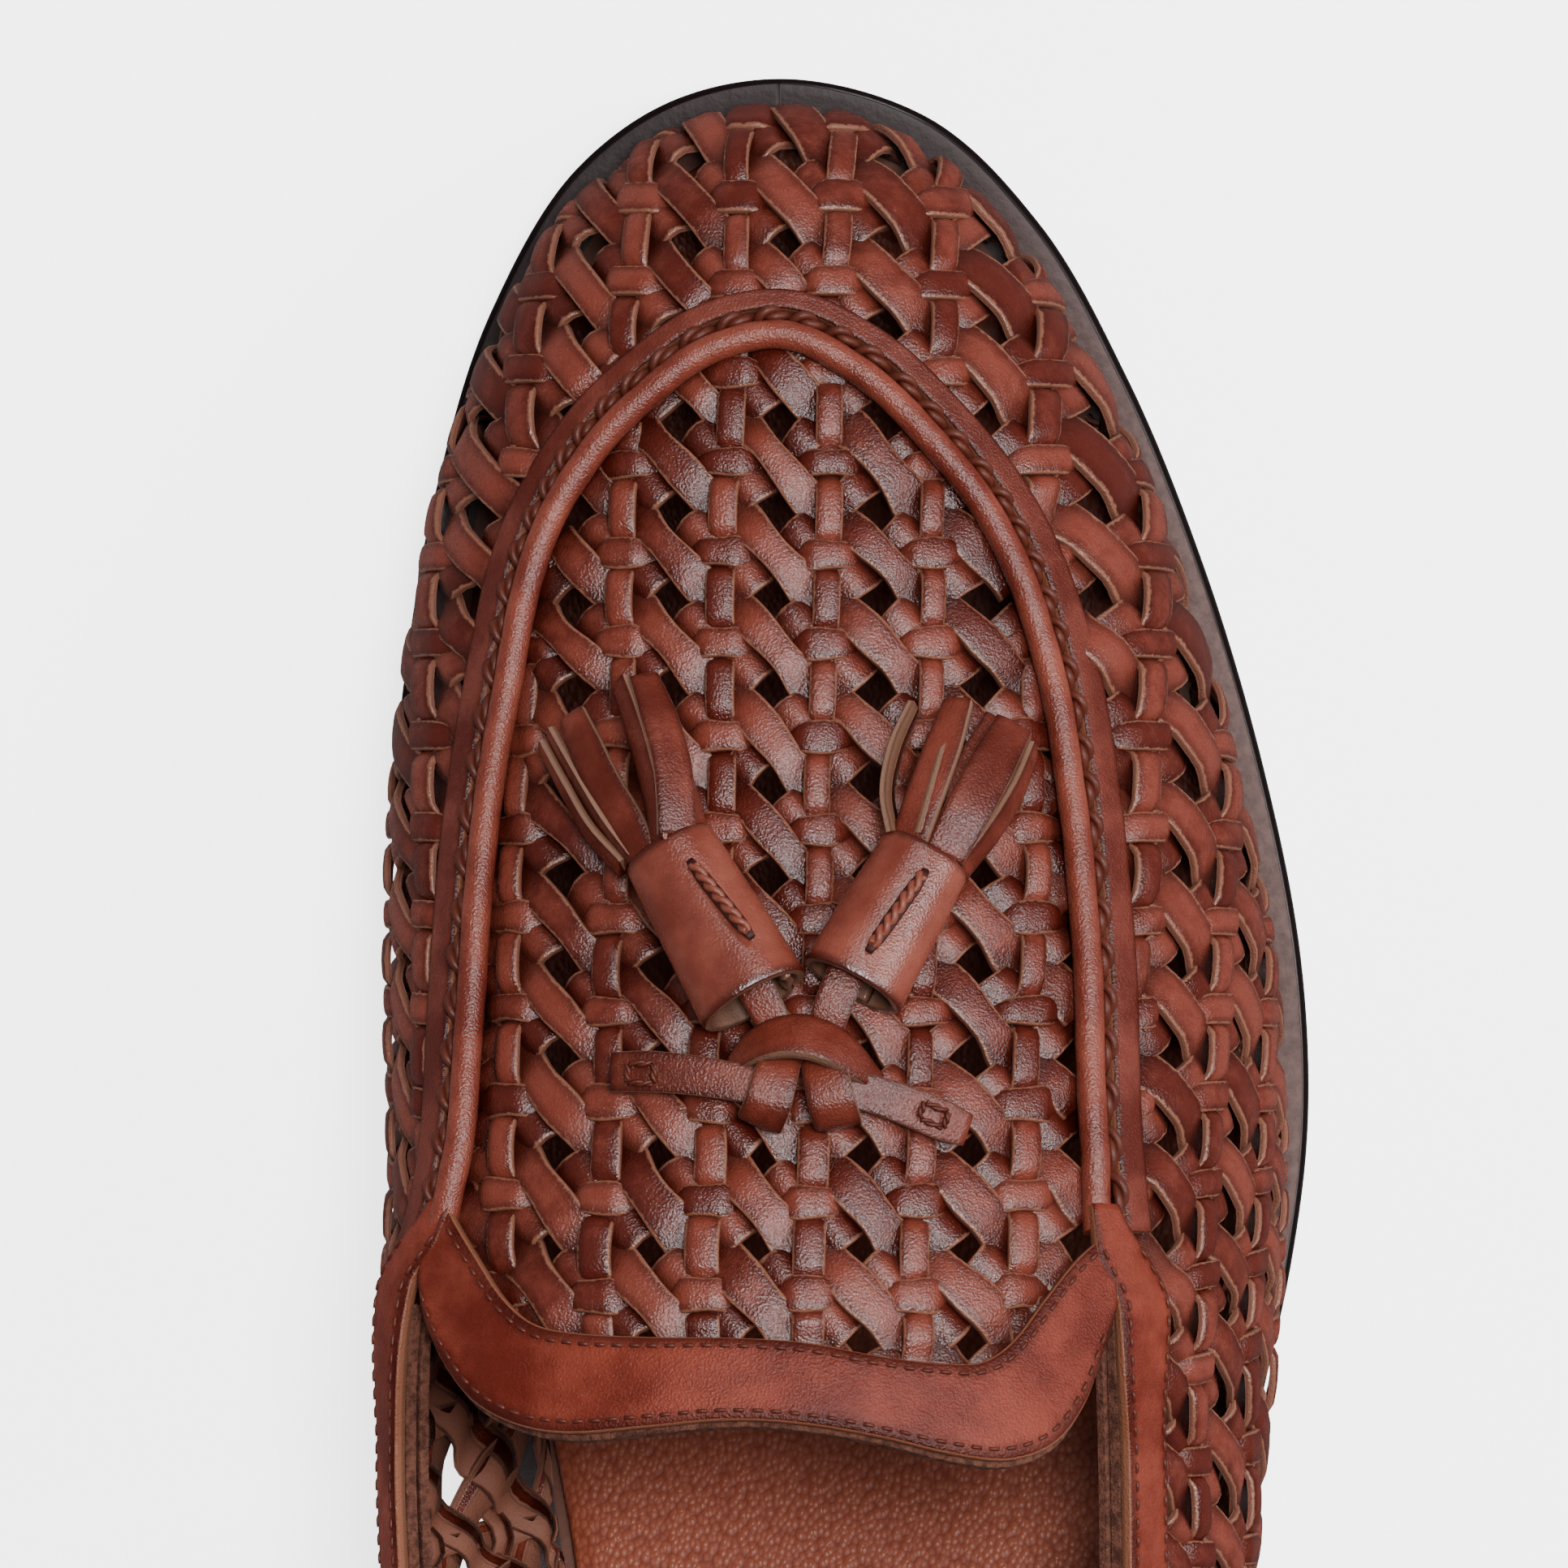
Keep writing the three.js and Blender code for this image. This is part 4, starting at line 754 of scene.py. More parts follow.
def band_run(places, under, over, place, rounding=0.4, tone=0.5):
    """Cross sections of a flat band: place(i, s, h) says where a share s across it lies."""
    s = np.array([0, 0.012, 0.04, 0.1, 0.22, 0.4, 0.6, 0.78, 0.9, 0.96, 0.988, 1])
    edge = np.abs(2 * s - 1)
    high = over - rounding * np.array([1, 0.62, 0.3, 0.1, 0.02, 0, 0, 0.02, 0.1, 0.3, 0.62, 1])
    across = np.concatenate([s, [0.995, 0.5, 0.005]])
    height = np.concatenate([high, [under] * 3])
    tags = np.concatenate([np.where(edge > 0.97, 1.0, edge * 0.94), [2, 2, 2]])
    return place(places[:, None], across[None], height[None]), tags, tone, 8 * np.minimum(across, 1 - across)


def seam_band_place(u, s, h):
    w = 2.3 + (band_edge(u) + 0.5 - 2.3) * s
    return wall_point(u, w, h + 0.25 * np.cos(s * np.pi) * (1 - s))


band_u = np.linspace(MEDIAL_NOTCH + 6, LATERAL_NOTCH - 7, 300)
band_look = polished_calf("folded_strip_calf", rgb(132, 61, 47), rgb(98, 38, 28), 0.3, 0.3)
leather_piece("seam_strip", [band_run(band_u, -0.3, 1.35, seam_band_place, 0.7)],
              "smooth_leather", band_look.material, "seam_band")

thread_look = Look("waxed_thread", Roughness=0.45, Specular_IOR_Level=0.2)
thread_look.set(Base_Color=thread_look.mix(thread_look.noise(700, 3.0), rgb(74, 30, 22), rgb(116, 58, 44)),
                Normal=thread_look.bump(thread_look.noise(4200, 2.0), 0.0001, 0.5))
seam_stitches = []
SEAM_STITCH_STEP = 5.25
stitch_places = np.arange(seam_u[0] + 5, seam_u[-1] - 5, SEAM_STITCH_STEP)
for k, start in enumerate(stitch_places):
    reach = np.linspace(0, 1, 20)
    u = start + 0.3 * chance.uniform(-1, 1) + reach * 4.9
    w = 1.35 + 0.55 * reach + 0.12 * chance.uniform(-1, 1)
    h = -1.0 + 2.75 * np.sin(np.pi * reach) ** 0.55
    line = wall_point(u, w, h)
    seam_stitches += plied_cord(line, 0.86, apron_up(line), 0.8, chance.uniform(0, 1))
leather_piece("seam_stitches", seam_stitches, "tassel_leather", thread_look.material)


# The collar: one band of smooth calf that frames the throat, rises to a pointed ear each side of the
# apron and runs on down the topline round the heel. It has a fine stitch row near each edge, and its
# cut edge and those of the weave and the lining show as thin layers round the opening.
def throat_place(t, s, h):
    row = throat_curve(np.broadcast_to(t, np.broadcast(t, s).shape))
    x = row[..., 0] + (row[..., 2] - row[..., 0]) * s
    y = row[..., 1] + (row[..., 3] - row[..., 1]) * s
    return apron_point(x, y, h + 0.12 * np.sin(x * 0.35) * np.sin(s * 3.1))


def collar_side_place(u, s, h):
    past = np.minimum(u - (LATERAL_NOTCH - 9.5), RING + MEDIAL_NOTCH + 11.5 - u)
    width = 1.2 + 7.2 * smooth(past, -1, 11.4)
    top = -2.2 + 2.3 * smooth(past, 5, 10.5)
    return wall_point(u, top + (width - top) * s, h)


collar_look = polished_calf("collar_calf", rgb(150, 66, 49), rgb(110, 40, 28), 0.3, 0.17)
throat_t = np.linspace(0, 15, 150)
collar_u = np.linspace(LATERAL_NOTCH - 9.5, RING + MEDIAL_NOTCH + 11.5, 420)
leather_piece("collar", [band_run(throat_t, 0.6, 2.05, throat_place, 0.5),
                         band_run(collar_u, 0.6, 2.05, collar_side_place, 0.5)],
              "smooth_leather", collar_look.material, "collar_band")


def stitch_row(spots, ups, length=1.35, radius=0.24):
    """Short machine stitches, half sunk, one at each spot along a line."""
    found = []
    ways = np.gradient(spots, axis=0)
    ways /= np.linalg.norm(ways, axis=1, keepdims=True)
    reach = np.array([-0.5, -0.35, 0, 0.35, 0.5])
    sink = np.array([-0.3, 0.02, 0.1, 0.02, -0.3])
    for spot, way, up in zip(spots, ways, ups):
        line = spot + way * (reach * length)[:, None] + up * sink[:, None]
        found.append(tube(line, radius * np.array([0.5, 1, 1, 1, 0.5]), np.broadcast_to(up, line.shape), 5,
                          0.0, chance.uniform(0, 1)))
    return found


def evenly(line, step):
    run = np.concatenate([[0], np.cumsum(np.linalg.norm(np.diff(line, axis=0), axis=1))])
    places = np.arange(step, run[-1] - step / 2, step)
    return np.stack([np.interp(places, run, line[:, c]) for c in range(3)], -1)


STITCH_STEP = 2.05
fine_t = np.linspace(0.3, 14.7, 400)
fine_u = np.linspace(LATERAL_NOTCH - 6, RING + MEDIAL_NOTCH + 8, 900)
collar_stitches = []
for line in (throat_place(fine_t, 0.11, 2.0), throat_place(fine_t, 0.89, 2.0)):
    spots = evenly(line, STITCH_STEP)
    collar_stitches += stitch_row(spots, apron_up(spots))
for s in (0.13, 0.88):
    line = collar_side_place(fine_u, np.full_like(fine_u, s), 2.0)
    outer = collar_side_place(fine_u, np.full_like(fine_u, s), 3.0) - line
    spots, ups = evenly(line, STITCH_STEP), evenly(line + outer, STITCH_STEP)
    count = min(len(spots), len(ups))
    way = ups[:count] - spots[:count]
    collar_stitches += stitch_row(spots[:count], way / np.linalg.norm(way, axis=1, keepdims=True))
leather_piece("collar_stitches", collar_stitches, "smooth_leather", thread_look.material)

raw_look = Look("raw_leather_edge", Roughness=0.85, Specular_IOR_Level=0.2)
layers = raw_look.noise(900, 4.0, 0.7)
raw_look.set(Base_Color=raw_look.mix(raw_look.range(layers, 0.35, 0.65), rgb(78, 44, 34), rgb(124, 78, 62)),
             Normal=raw_look.bump(layers + raw_look.noise(3800, 2.0), 0.0003, 0.8))
lining_u = np.linspace(LATERAL_NOTCH + 1, RING + MEDIAL_NOTCH - 1, 300)
throat_lining_t = np.linspace(0.4, 14.6, 120)
leather_piece("topline_layers", [
    band_run(lining_u, -0.75, 0.55, lambda u, s, h: wall_point(u, 0.15 + 3.4 * s, h), 0.25),
    band_run(lining_u, -2.1, -0.95, lambda u, s, h: wall_point(u, -0.25 + 4.6 * s, h), 0.25),
    band_run(throat_lining_t, -1.2, 0.35, lambda t, s, h: throat_place(t, -0.05 + 0.7 * s, h), 0.25),
], "woven_leather", raw_look.material)

# The back strap: a strip of the same calf over the seam where the weave's two ends meet.
back_v = np.linspace(0, 1, 60)


def back_place(v, s, h):
    u = HEEL + (s - 0.5) * (17 - 2.5 * np.sin(np.pi * v))
    return wall_point(u, 8.7 + (wall_depth(np.full_like(u, HEEL)) - 9.2) * v, h)


back_look = polished_calf("back_strap_calf", rgb(142, 64, 47), rgb(104, 38, 26), 0.3, 0.3)
leather_piece("heel_strap", [band_run(back_v, 0.2, 1.75, back_place, 0.45)],
              "smooth_leather", back_look.material, "back_strap")
back_stitches = []
for s in (0.1, 0.9):
    line = back_place(np.linspace(0.02, 0.98, 200), np.full(200, s), 1.72)
    spots = evenly(line, STITCH_STEP)
    back_stitches += stitch_row(spots, np.broadcast_to(np.array([0, -1.0, 0.15]), spots.shape))
leather_piece("heel_strap_stitches", back_stitches, "smooth_leather", thread_look.material)


# The little strap across the apron, in two halves whose outer ends are held by a small box of
# stitches, with two loops round it in the middle and an arched tab over the loops' toe side.
def thong(path, widths, ups, thick=1.3, dome=0.12, steps=24, tone=0.5):
    """Cross sections of a cut leather thong along a few points; ups say which way its grain side faces."""
    path = np.array(path, float)
    knots = np.concatenate([[0], np.cumsum(np.linalg.norm(np.diff(path, axis=0), axis=1))])
    t = np.linspace(0, knots[-1], steps)
    line = curve_through(knots, path)(t)
    up = curve_through(knots, np.array(ups, float))(t)
    aside, over = way_out(line, up)[1:]
    half = np.interp(t, knots, widths) / 2
    height = SECTION_RISE * (dome / 0.3) - thick * SECTION_UNDER
    points = (line[:, None] + aside[:, None] * (SECTION_ACROSS[None] * half[:, None])[..., None]
              + over[:, None] * height[None, :, None])
    return points, SECTION_TAG, tone, 2.2 * (1 - np.clip(np.abs(SECTION_TAG), 0, 1)) + 0.5


UP = (0, 0.25, 1.0)
trim_look = polished_calf("strap_and_leaf_calf", rgb(136, 64, 50), rgb(98, 40, 30), 0.22, 0.3, 0.8,
                          rgb(146, 106, 86))
leather_piece("cross_strap_left", [thong(
    [(-21.3, 36.5, 68.1), (-17.0, 36.6, 69.5), (-12.4, 36.3, 70.6), (-7.4, 35.6, 71.4), (-2.6, 34.8, 71.6)],
    [4.4, 4.6, 4.4, 4.2, 3.8],
    [(-0.25, 0.1, 1), (-0.2, 0.12, 1), (-0.15, 0.15, 1), (-0.1, 0.2, 1), UP], 1.5)],
    "tassel_leather", trim_look.material, "strap_left")
leather_piece("cross_strap_right", [thong(
    [(2.0, 35.0, 71.4), (4.7, 34.9, 71.1), (8.7, 34.0, 70.4), (12.7, 32.5, 69.3), (15.7, 31.2, 68.2),
     (18.3, 30.1, 67.0)],
    [3.8, 4.0, 4.2, 4.4, 4.5, 3.6], [UP, (0.05, 0.2, 1), (0.1, 0.15, 1), (0.2, 0.12, 1), (0.28, 0.1, 1),
                                    (0.3, 0.1, 1)], 1.5)],
    "tassel_leather", trim_look.material, "strap_right")


def loop_over(points, width, centre, steps=26):
    ups = np.array(points) - np.array(centre)
    return thong(points, width, ups, 1.2, 0.2, steps)


knot_runs = [
    loop_over([(-1.4, 40.2, 68.2), (-2.0, 38.6, 71.2), (-2.6, 36.0, 73.4), (-3.4, 33.0, 73.9),
               (-4.4, 30.9, 72.4), (-4.9, 30.4, 69.6)], [4.2, 4.6, 5.0, 5.2, 5.2, 4.6], (-3.0, 34.8, 69.5)),
    loop_over([(1.6, 40.0, 67.9), (2.1, 38.4, 70.8), (3.0, 35.9, 72.9), (3.7, 33.0, 73.3), (4.2, 30.9, 72.0),
               (4.4, 30.2, 69.2)], [4.0, 4.6, 5.1, 5.3, 5.3, 4.8], (3.4, 34.8, 69.2)),
    thong([(-8.2, 37.2, 69.2), (-6.2, 39.2, 70.9), (-3.4, 40.7, 72.2), (0.3, 41.1, 72.7), (3.8, 40.0, 72.2),
           (6.6, 37.7, 70.8), (8.8, 35.4, 68.9)],
          [2.0, 3.9, 5.2, 5.8, 5.4, 4.2, 2.4],
          [(-0.7, 0.5, 1), (-0.5, 0.7, 1), (-0.2, 0.9, 1), (0, 0.95, 1), (0.25, 0.9, 1), (0.5, 0.7, 1),
           (0.7, 0.5, 1)], 1.4, 0.25, 36),
]
leather_piece("strap_knot", knot_runs, "tassel_leather", trim_look.material, "knot")

box_stitches = []
for corners in ([(-19.3, 37.4, 69.2), (-16.3, 37.5, 70.1), (-16.2, 35.3, 70.4), (-19.2, 35.3, 69.6)],
                [(13.6, 33.3, 69.7), (16.2, 32.2, 68.6), (15.7, 30.4, 68.5), (13.0, 31.5, 69.6)]):
    for a, b in zip(corners, corners[1:] + corners[:1]):
        reach = np.linspace(0.08, 0.92, 12)[:, None]
        line = np.array(a) * (1 - reach) + np.array(b) * reach
        line[:, 2] += 0.3 * np.sin(np.linspace(0, np.pi, 12)) - 0.1
        box_stitches += plied_cord(line, 0.36, np.broadcast_to(np.array(UP), line.shape), 0.9)
leather_piece("strap_stitches", box_stitches, "tassel_leather", thread_look.material)


# The tassels: a flat strip of calf with one side cut into leaves, rolled up with its lace and held by
# one long stitch. The roll is a little flattened, its free edge shows as a step along its right side,
# and its open base shows the raw cut edge.
ROLL_POINTS = 64
HEAD_WALL = 1.35
ROLL_FLATTENED = 0.76


def rolled_head(tip, base, tip_width, base_width, up, seam):
    """The rolled head from the end with the leaves to the open base; seam is where the flap ends."""
    tip, base, up = np.array(tip), np.array(base), np.array(up, float)
    axis = (base - tip) / np.linalg.norm(base - tip)
    aside = np.cross(up, axis)
    aside /= np.linalg.norm(aside)
    over = np.cross(axis, aside)
    turn = np.linspace(seam, seam + 2.28 * np.pi, ROLL_POINTS)
    depth = np.clip((turn - seam - 2 * np.pi) / (0.28 * np.pi), -1, 1)
    step = np.where(depth > -0.35, -1.3 * smooth(depth, -0.35, 0.0), 0)
    rings = []
    length = np.linalg.norm(base - tip)
    stations = [(0.0, 0.35), (0.25, 0.08), (0.7, 0), (1.6, 0), (length * 0.25, 0.0), (length * 0.5, -0.05),
                (length * 0.75, 0), (length - 1.6, 0), (length - 0.6, 0), (length - 0.2, 0.08), (length, 0.3)]
    for at, drawn in stations:
        half = (tip_width + (base_width - tip_width) * at / length) / 2
        outer = half - drawn + step
        inner = np.maximum(half - HEAD_WALL + drawn + step, 1.0)
        centre = tip + axis * at

        def around(radius, turn):
            return (centre + aside * (np.cos(turn) * radius)[:, None]
                    + over * (np.sin(turn) * radius * ROLL_FLATTENED)[:, None])
        rings.append(np.concatenate([around(outer, turn), around(inner, turn)[::-1]]))
    tags = np.concatenate([np.zeros(ROLL_POINTS), np.full(ROLL_POINTS, 2.0)])
    tags[[0, ROLL_POINTS - 1, ROLL_POINTS, 2 * ROLL_POINTS - 1]] = 1.0
    rim = np.zeros((len(stations), 1))
    rim[[0, -1]] = 1.0
    tags = np.maximum(np.broadcast_to(tags, (len(stations), 2 * ROLL_POINTS)), rim)
    ends = np.array([[min(at, length - at)] for at, drawn in stations])
    return np.array(rings), tags, 0.5, ends * 1.3


head_look = polished_calf("tassel_head_calf", rgb(154, 80, 64), rgb(120, 56, 44), 0.19, 0.5, 0.5,
                          rgb(128, 84, 66))
leather_piece("tassel_head_left", [rolled_head((-15.4, 61.3, 63.7), (-5.1, 44.4, 70.0), 10.6, 13.0,
                                               (0.0, 0.1, 1), -0.55)],
              "tassel_leather", head_look.material, "barrel_left")
leather_piece("tassel_head_right", [rolled_head((13.3, 60.6, 61.8), (5.4, 46.0, 68.0), 10.4, 12.2,
                                                (0.1, 0.1, 1), -1.9)],
              "tassel_leather", head_look.material, "barrel_right")

# Painted shadow: a flat dark lens under each tassel's long stitch stands in for the shade inside the slit it
# runs in.
slot_look = Look("slot_shadow_leather", Roughness=0.6, Specular_IOR_Level=0.2)
slot_look.set(Base_Color=slot_look.mix(slot_look.noise(900, 2.0), rgb(44, 14, 9), rgb(72, 26, 18)))
slot_shadow_lenses = []
head_stitches = []
for a, b, lift in (((-12.0, 59.4, 69.4), (-5.6, 52.1, 73.7), 0.35),
                   ((13.2, 58.3, 67.5), (8.0, 50.6, 71.9), 0.3)):
    reach = np.linspace(0, 1, 46)[:, None]
    line = np.array(a) * (1 - reach) + np.array(b) * reach
    line[:, 2] += lift * np.sin(np.linspace(0, np.pi, 46)) - 0.1
    head_stitches += plied_cord(line, 0.66, np.broadcast_to(np.array([0, 0.3, 1.0]), line.shape), 3.2)
    slot = np.array(a) + (np.array(b) - np.array(a)) * np.linspace(-0.08, 1.08, 7)[:, None]
    slot[:, 2] += lift * np.sin(np.linspace(0, np.pi, 7)) - 0.15
    slot_shadow_lenses.append(thong(slot, [0.8, 1.5, 1.6, 1.6, 1.6, 1.5, 0.8], [(0, 0.3, 1.0)] * 7, 0.6, 0.1, 20))
leather_piece("tassel_slot_shadows", slot_shadow_lenses, "tassel_leather", slot_look.material)
cord_look = Look("tassel_cord", Roughness=0.45, Specular_IOR_Level=0.3)
cord_look.set(Base_Color=cord_look.mix(cord_look.noise(900, 3.0), rgb(112, 48, 36), rgb(160, 88, 68)),
              Normal=cord_look.bump(cord_look.noise(4200, 2.0), 0.0001, 0.5))
leather_piece("tassel_stitches", head_stitches, "tassel_leather", cord_look.material)

leaf_left = [
    thong([(-18.0, 60.0, 65.6), (-20.4, 64.3, 63.8), (-22.8, 67.8, 61.6), (-25.3, 72.3, 58.6),
           (-27.2, 76.2, 55.6)],
          [3.8, 4.2, 4.3, 4.2, 3.2], [(-0.5, 0.2, 1)] * 5, 1.1, 0.3, 26, 0.1),
    thong([(-13.9, 62.8, 67.2), (-14.1, 66.5, 66.2), (-14.8, 71.0, 64.2), (-16.6, 76.2, 61.0),
           (-18.6, 80.6, 57.6)],
          [4.4, 4.4, 4.4, 4.3, 3.4], [(0.35, 0.3, 1)] * 5, 1.2, 0.3, 26, 0.9),
    thong([(-16.5, 61.6, 66.6), (-17.2, 66.0, 65.0), (-18.6, 71.0, 62.4), (-20.4, 76.0, 59.2),
           (-21.9, 79.6, 56.4)],
          [3.6, 3.6, 3.6, 3.4, 2.8], [(-1.4, 0.2, 0.8)] * 5, 1.1, 0.25, 26, 0.0),
    thong([(-20.0, 59.4, 63.4), (-23.2, 63.3, 61.4), (-26.6, 68.3, 57.8), (-30.0, 73.6, 53.4)],
          [3.6, 3.6, 3.4, 2.8], [(-1.6, -0.5, 0.55)] * 4, 1.0, 0.2, 24, 0.0),
    thong([(-20.9, 58.6, 62.6), (-24.6, 62.3, 60.2), (-27.9, 67.2, 56.6), (-31.0, 72.2, 52.6)],
          [3.4, 3.4, 3.2, 2.6], [(-1.6, -0.6, 0.5)] * 4, 1.0, 0.2, 24, 0.2),
    thong([(-11.3, 63.4, 64.6), (-12.1, 66.4, 62.6), (-13.5, 69.8, 60.0), (-15.6, 73.6, 57.4)],
          [3.4, 3.4, 3.2, 2.6], [(1.5, 0.3, 0.5)] * 4, 1.0, 0.2, 24, 0.5),
    thong([(-12.4, 63.2, 63.0), (-13.0, 66.0, 60.8), (-14.3, 69.0, 58.4)],
          [3.0, 3.0, 2.4], [(1.5, 0.4, 0.6)] * 3, 1.0, 0.2, 20, 0.3),
]
leather_piece("tassel_leaves_left", leaf_left, "tassel_leather", trim_look.material, "fringe_left")
leaf_right = [
    thong([(9.2, 62.6, 63.2), (8.3, 67.0, 61.4), (9.0, 72.2, 58.2), (10.8, 77.0, 54.9)],
          [2.2, 2.4, 2.5, 2.0], [(-1.2, 0.2, -0.6)] * 4, 1.0, 0.2, 24, 0.5),
    thong([(11.3, 62.4, 64.6), (13.0, 67.6, 62.7), (14.7, 73.0, 59.2), (16.1, 77.9, 55.4)],
          [4.3, 4.5, 4.4, 3.4], [(-0.35, 0.3, 1)] * 4, 1.2, 0.3, 26, 0.1),
    thong([(13.6, 62.2, 63.8), (14.8, 67.0, 61.8), (16.0, 72.2, 58.0), (17.4, 77.2, 53.9)],
          [3.4, 3.5, 3.4, 2.8], [(1.5, -0.2, 0.7)] * 4, 1.0, 0.2, 24, 0.2),
    thong([(15.3, 60.5, 63.8), (18.0, 65.6, 62.4), (20.3, 70.4, 59.0), (22.6, 75.2, 54.4)],
          [4.8, 5.2, 5.2, 4.4], [(0.25, 0.35, 1)] * 4, 1.2, 0.35, 28, 0.95),
    thong([(17.4, 58.4, 61.4), (20.6, 62.6, 59.4), (23.3, 67.4, 55.4), (24.9, 72.0, 51.4)],
          [3.6, 3.8, 3.6, 3.0], [(1.6, -0.5, 0.6)] * 4, 1.0, 0.2, 24, 0.3),
    thong([(12.8, 61.0, 62.0), (15.4, 66.2, 59.6), (18.4, 71.6, 55.6), (20.4, 75.8, 52.0)],
          [3.4, 3.6, 3.4, 2.8], [(0.3, 0.3, 1)] * 4, 1.0, 0.2, 24, 0.3),
]
leather_piece("tassel_leaves_right", leaf_right, "tassel_leather", trim_look.material, "fringe_right")
leather_piece("tassel_lace_right", [thong(
    [(6.0, 49.5, 68.6), (4.6, 46.6, 69.9), (3.4, 43.4, 70.6), (2.4, 40.4, 70.2)], [4.2, 4.3, 4.2, 3.9],
    [(0.1, 0.2, 1)] * 4, 1.2, 0.2, 20)], "tassel_leather", trim_look.material, "lace_right")
leather_piece("tassel_lace_left", [thong(
    [(-7.0, 49.0, 68.8), (-5.4, 46.2, 69.4), (-4.0, 43.6, 69.6), (-2.6, 41.0, 69.4)], [4.2, 4.2, 4.0, 3.6],
    [(-0.2, 0.2, 1)] * 4, 1.2, 0.2, 20)], "tassel_leather", trim_look.material, "lace_left")


# The sole: one layer of dark leather with a thin bevelled and inked edge, and a narrow shelf that
# shows beside the upper. The heel is a stack of leather lifts on a rubber tip. The insole is pebbled
# brown leather.
edge_u = np.linspace(0, RING, 1600, endpoint=False)
edge_rows = ring_curve(edge_u)[:, 3:5]
edge_rows = np.roll(edge_rows, -np.argmax(edge_rows[:, 1]), axis=0)
heel_end = np.argmin(edge_rows[:, 1])
right_edge = edge_rows[:heel_end + 1]
left_edge = np.concatenate([edge_rows[heel_end:], edge_rows[:1]])[::-1]
TOE_TIP, HEEL_TIP = right_edge[0, 1], right_edge[-1, 1]
SOLE_MIDDLE = 0.7
HEEL_BREAST = -74.7


def edge_x(line, y):
    """Where a side of the sole's outline is at a place along it."""
    falling = np.minimum.accumulate(line[:, 1])
    return np.interp(y, falling[::-1], line[::-1, 0])


def inset_span(y, inset):
    """Middle and half width of the sole's outline drawn in by so much."""
    middle = (TOE_TIP + HEEL_TIP) / 2
    source = middle + (y - middle) * (TOE_TIP - HEEL_TIP) / (TOE_TIP - HEEL_TIP - 2 * inset)
    left, right = edge_x(left_edge, source), edge_x(right_edge, source)
    half = np.maximum((right - left) / 2, 0.06)
    return (left + right) / 2, np.maximum(half - inset, half * 0.35)


def loft(profile, along, tags=0.0):
    """Sections across the shoe. The profile runs from the underside round the left edge to the top, as
    (millimetres in from the sole's edge, height above the sole's top, share of the half width), and the
    right edge mirrors it."""
    left_side = []
    right_side = []
    for inset, rise, share in profile:
        drawn_in = 2 * inset / (TOE_TIP - HEEL_TIP)
        y = along * (1 - drawn_in) + SOLE_MIDDLE * drawn_in
        middle, half = inset_span(y, inset)
        z = sole_top(y) + rise
        left_side.append(np.stack([middle - half * share, y, z], -1))
        right_side.append(np.stack([middle + half * share, y, z], -1))
    ring = left_side + right_side[::-1]
    return np.stack(ring, 1), tags, 0.5, 9.0


def along_sole(count):
    """Places of the sections from the toe to the heel, closer at both ends."""
    return TOE_TIP + (HEEL_TIP - TOE_TIP) * (1 - np.cos(np.linspace(0, np.pi, count))) / 2


sole_look = Look("inked_sole_leather", Specular_IOR_Level=0.2)
fibre = sole_look.noise(700, 4.0, 0.65)
shelf = sole_look.range(sole_look.value("across"), 0.4, 0.6)
sole_base = sole_look.mix(sole_look.range(fibre, 0.3, 0.7), rgb(86, 60, 56), rgb(112, 84, 78))
# Painted shade: the sole's shelf turns darker towards the big-toe side, from x = 42 mm down to 8 mm, where
# the upper shades it.
sole_side = sole_look.node("ShaderNodeSeparateXYZ", {}, {"Vector": sole_look.place})
sole_base = sole_look.mix(sole_look.range(sole_side, 0.008, 0.042), rgb(52, 40, 40), sole_base)
sole_base = sole_look.mix(shelf, rgb(30, 20, 20), sole_base)
sole_base = sole_look.mix(sole_look.range(sole_look.value("across"), 1.2, 1.8), sole_base, rgb(112, 66, 50))
sole_look.set(Base_Color=sole_base, Roughness=sole_look.range(shelf, 0, 1, 0.28, 0.55),
              Normal=sole_look.bump(fibre * shelf + sole_look.noise(90, 2.0) * 0.5, 0.0002, 0.6))
sole_profile = [(1.0, -4.5, 0.5), (1.0, -4.5, 1), (0.5, -4.4, 1), (0.1, -4.0, 1), (0, -3.4, 1), (0, -1.3, 1),
                (0.1, -0.6, 1), (0.45, -0.15, 1), (0.8, 0.0, 1), (1.6, 0.05, 1), (4.6, 0, 1), (5.2, 0, 1),
                (7, 0, 0.5)]
sole_tags = np.array([0, 0, 0, 0, 0, 0, 0, 0, 1, 1, 1, 2, 2.0])
leather_piece("sole", [loft(sole_profile, along_sole(220), np.concatenate([sole_tags, sole_tags[::-1]]))],
              "sole_leather", sole_look.material, "outsole")

insole_look = Look("pebbled_insole", Specular_IOR_Level=0.12)
pebble_place = insole_look.node("ShaderNodeMapping", {}, {
    "Vector": insole_look.place, "Rotation": (0, 0, math.radians(-38)), "Scale": (1.0, 0.72, 1.0)})
pebbles = insole_look.cells(1500, pebble_place)
insole_clouds = insole_look.noise(40, 3.0)
insole_run = insole_look.node("ShaderNodeSeparateXYZ", {}, {"Vector": insole_look.place}, output=1)
insole_tan = insole_look.mix(insole_clouds, rgb(152, 80, 60), rgb(168, 92, 70))
insole_tan = insole_look.mix(insole_look.range(pebbles, 0.35, 0.85), insole_tan, rgb(138, 66, 48))
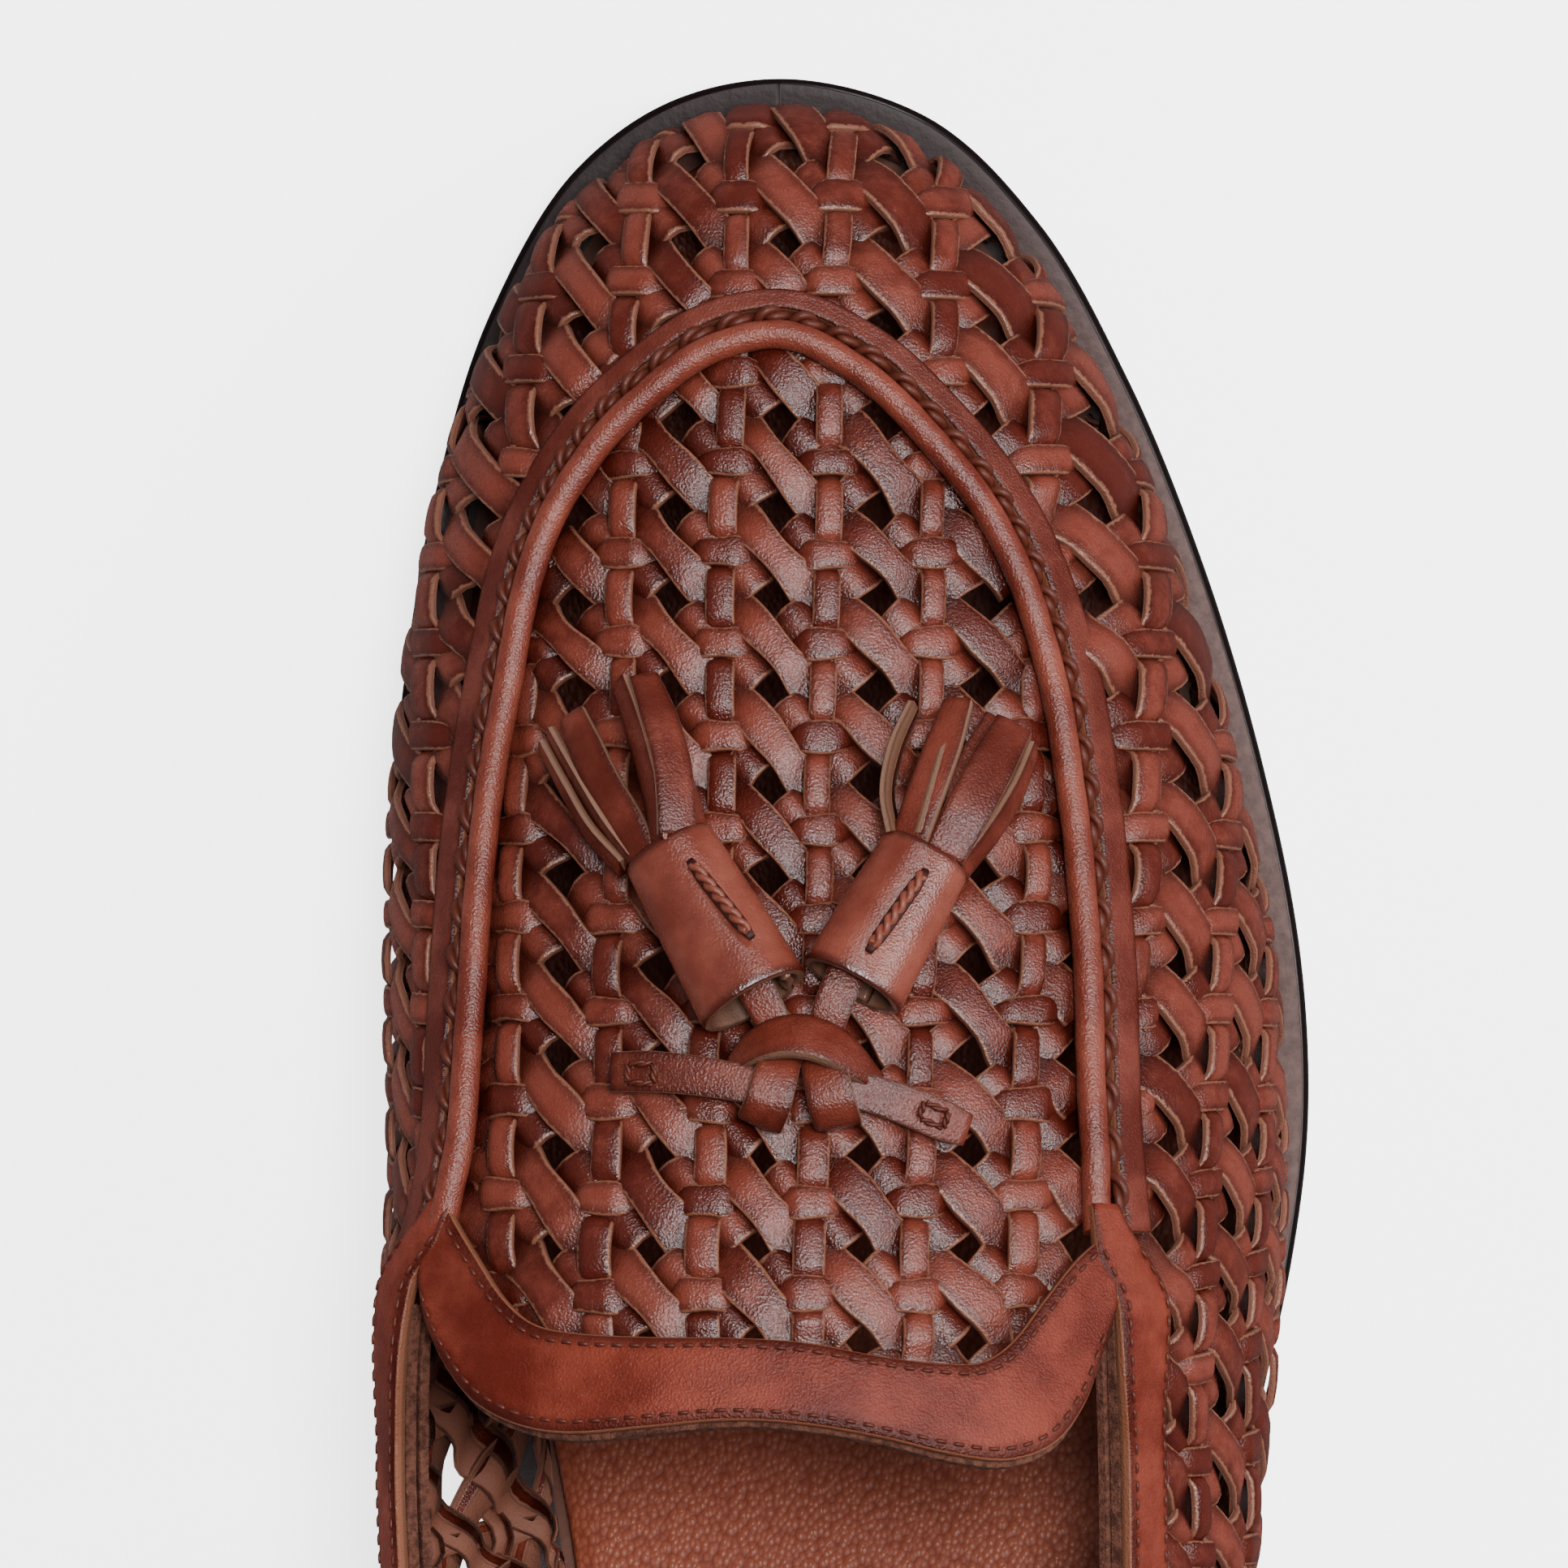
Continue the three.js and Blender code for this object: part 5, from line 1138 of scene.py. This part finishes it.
# Painted shade: the insole turns dark brown from y = 2 mm to 20 mm and on towards the toe, under the vamp.
insole_look.set(
    Base_Color=insole_look.mix(insole_look.range(insole_run, 0.002, 0.02), insole_tan, rgb(112, 52, 36)),
    Roughness=insole_look.range(pebbles, 0.1, 0.7, 0.32, 0.5),
    Normal=insole_look.bump(1.0 - pebbles, 0.00022, 0.7))
insole_profile = [(6.4, 0.3, 0.5), (6.4, 0.3, 1), (6.3, 1.2, 1), (6.5, 2.0, 1), (7.1, 2.45, 1),
                  (10, 2.5, 1), (16, 2.5, 1), (16, 2.5, 0.5)]
leather_piece("sock_insole", [loft(insole_profile, along_sole(160))],
              "insole_leather", insole_look.material, "insole")

heel_look = Look("stacked_heel_leather", Specular_IOR_Level=0.2)
heel_height = heel_look.node("ShaderNodeSeparateXYZ", {}, {"Vector": heel_look.place}, output=2)
lift_lines = abs(heel_look.node("ShaderNodeMath", {"operation": "FRACT"}, {0: heel_height * 240}) - 0.5)
lift_seam = heel_look.range(lift_lines, 0.44, 0.5)
lift_leather = heel_look.mix(heel_look.noise(500, 3.0), rgb(44, 26, 24), rgb(62, 38, 34))
heel_look.set(Base_Color=heel_look.mix(lift_seam, lift_leather, rgb(20, 12, 12)),
              Roughness=0.35, Normal=heel_look.bump(1.0 - lift_seam, 0.0002, 0.8))


def heel_sections(levels):
    """Sections of the heel from its breast to its back. Levels are (millimetres in from the sole's edge,
    height), where no height means up to the sole."""
    s = np.linspace(0, 1, 60)
    bend = 1 - (1 - s) ** 2
    ring = []
    for side in (-1, 1):
        column = []
        for inset, z in levels:
            y = HEEL_BREAST + (HEEL_TIP + inset - HEEL_BREAST) * bend
            middle, half = inset_span(y, inset)
            top = sole_top(y) - 4.8
            column.append(np.stack([middle + side * half, y, top if z is None else np.minimum(z, top)], -1))
        ring += column if side < 0 else column[::-1]
    return np.stack(ring, 1), 0.0, 0.5, 9.0


leather_piece("heel_lifts", [heel_sections([(2.0, 6.3), (1.8, 9.0), (1.5, 13.0), (1.2, 17.0), (0.9, None)])],
              "sole_leather", heel_look.material, "heel_stack")
tip_look = Look("heel_rubber", Roughness=0.75, Specular_IOR_Level=0.2)
tip_look.set(Base_Color=tip_look.mix(tip_look.noise(600, 3.0), rgb(34, 30, 30), rgb(46, 42, 40)),
             Normal=tip_look.bump(tip_look.noise(2500, 2.0), 0.0001, 0.5))
leather_piece("heel_top_piece", [heel_sections([(3.1, 0.0), (2.6, 0.5), (2.5, 1.2), (2.1, 6.0)])],
              "heel_rubber", tip_look.material, "heel_tip")
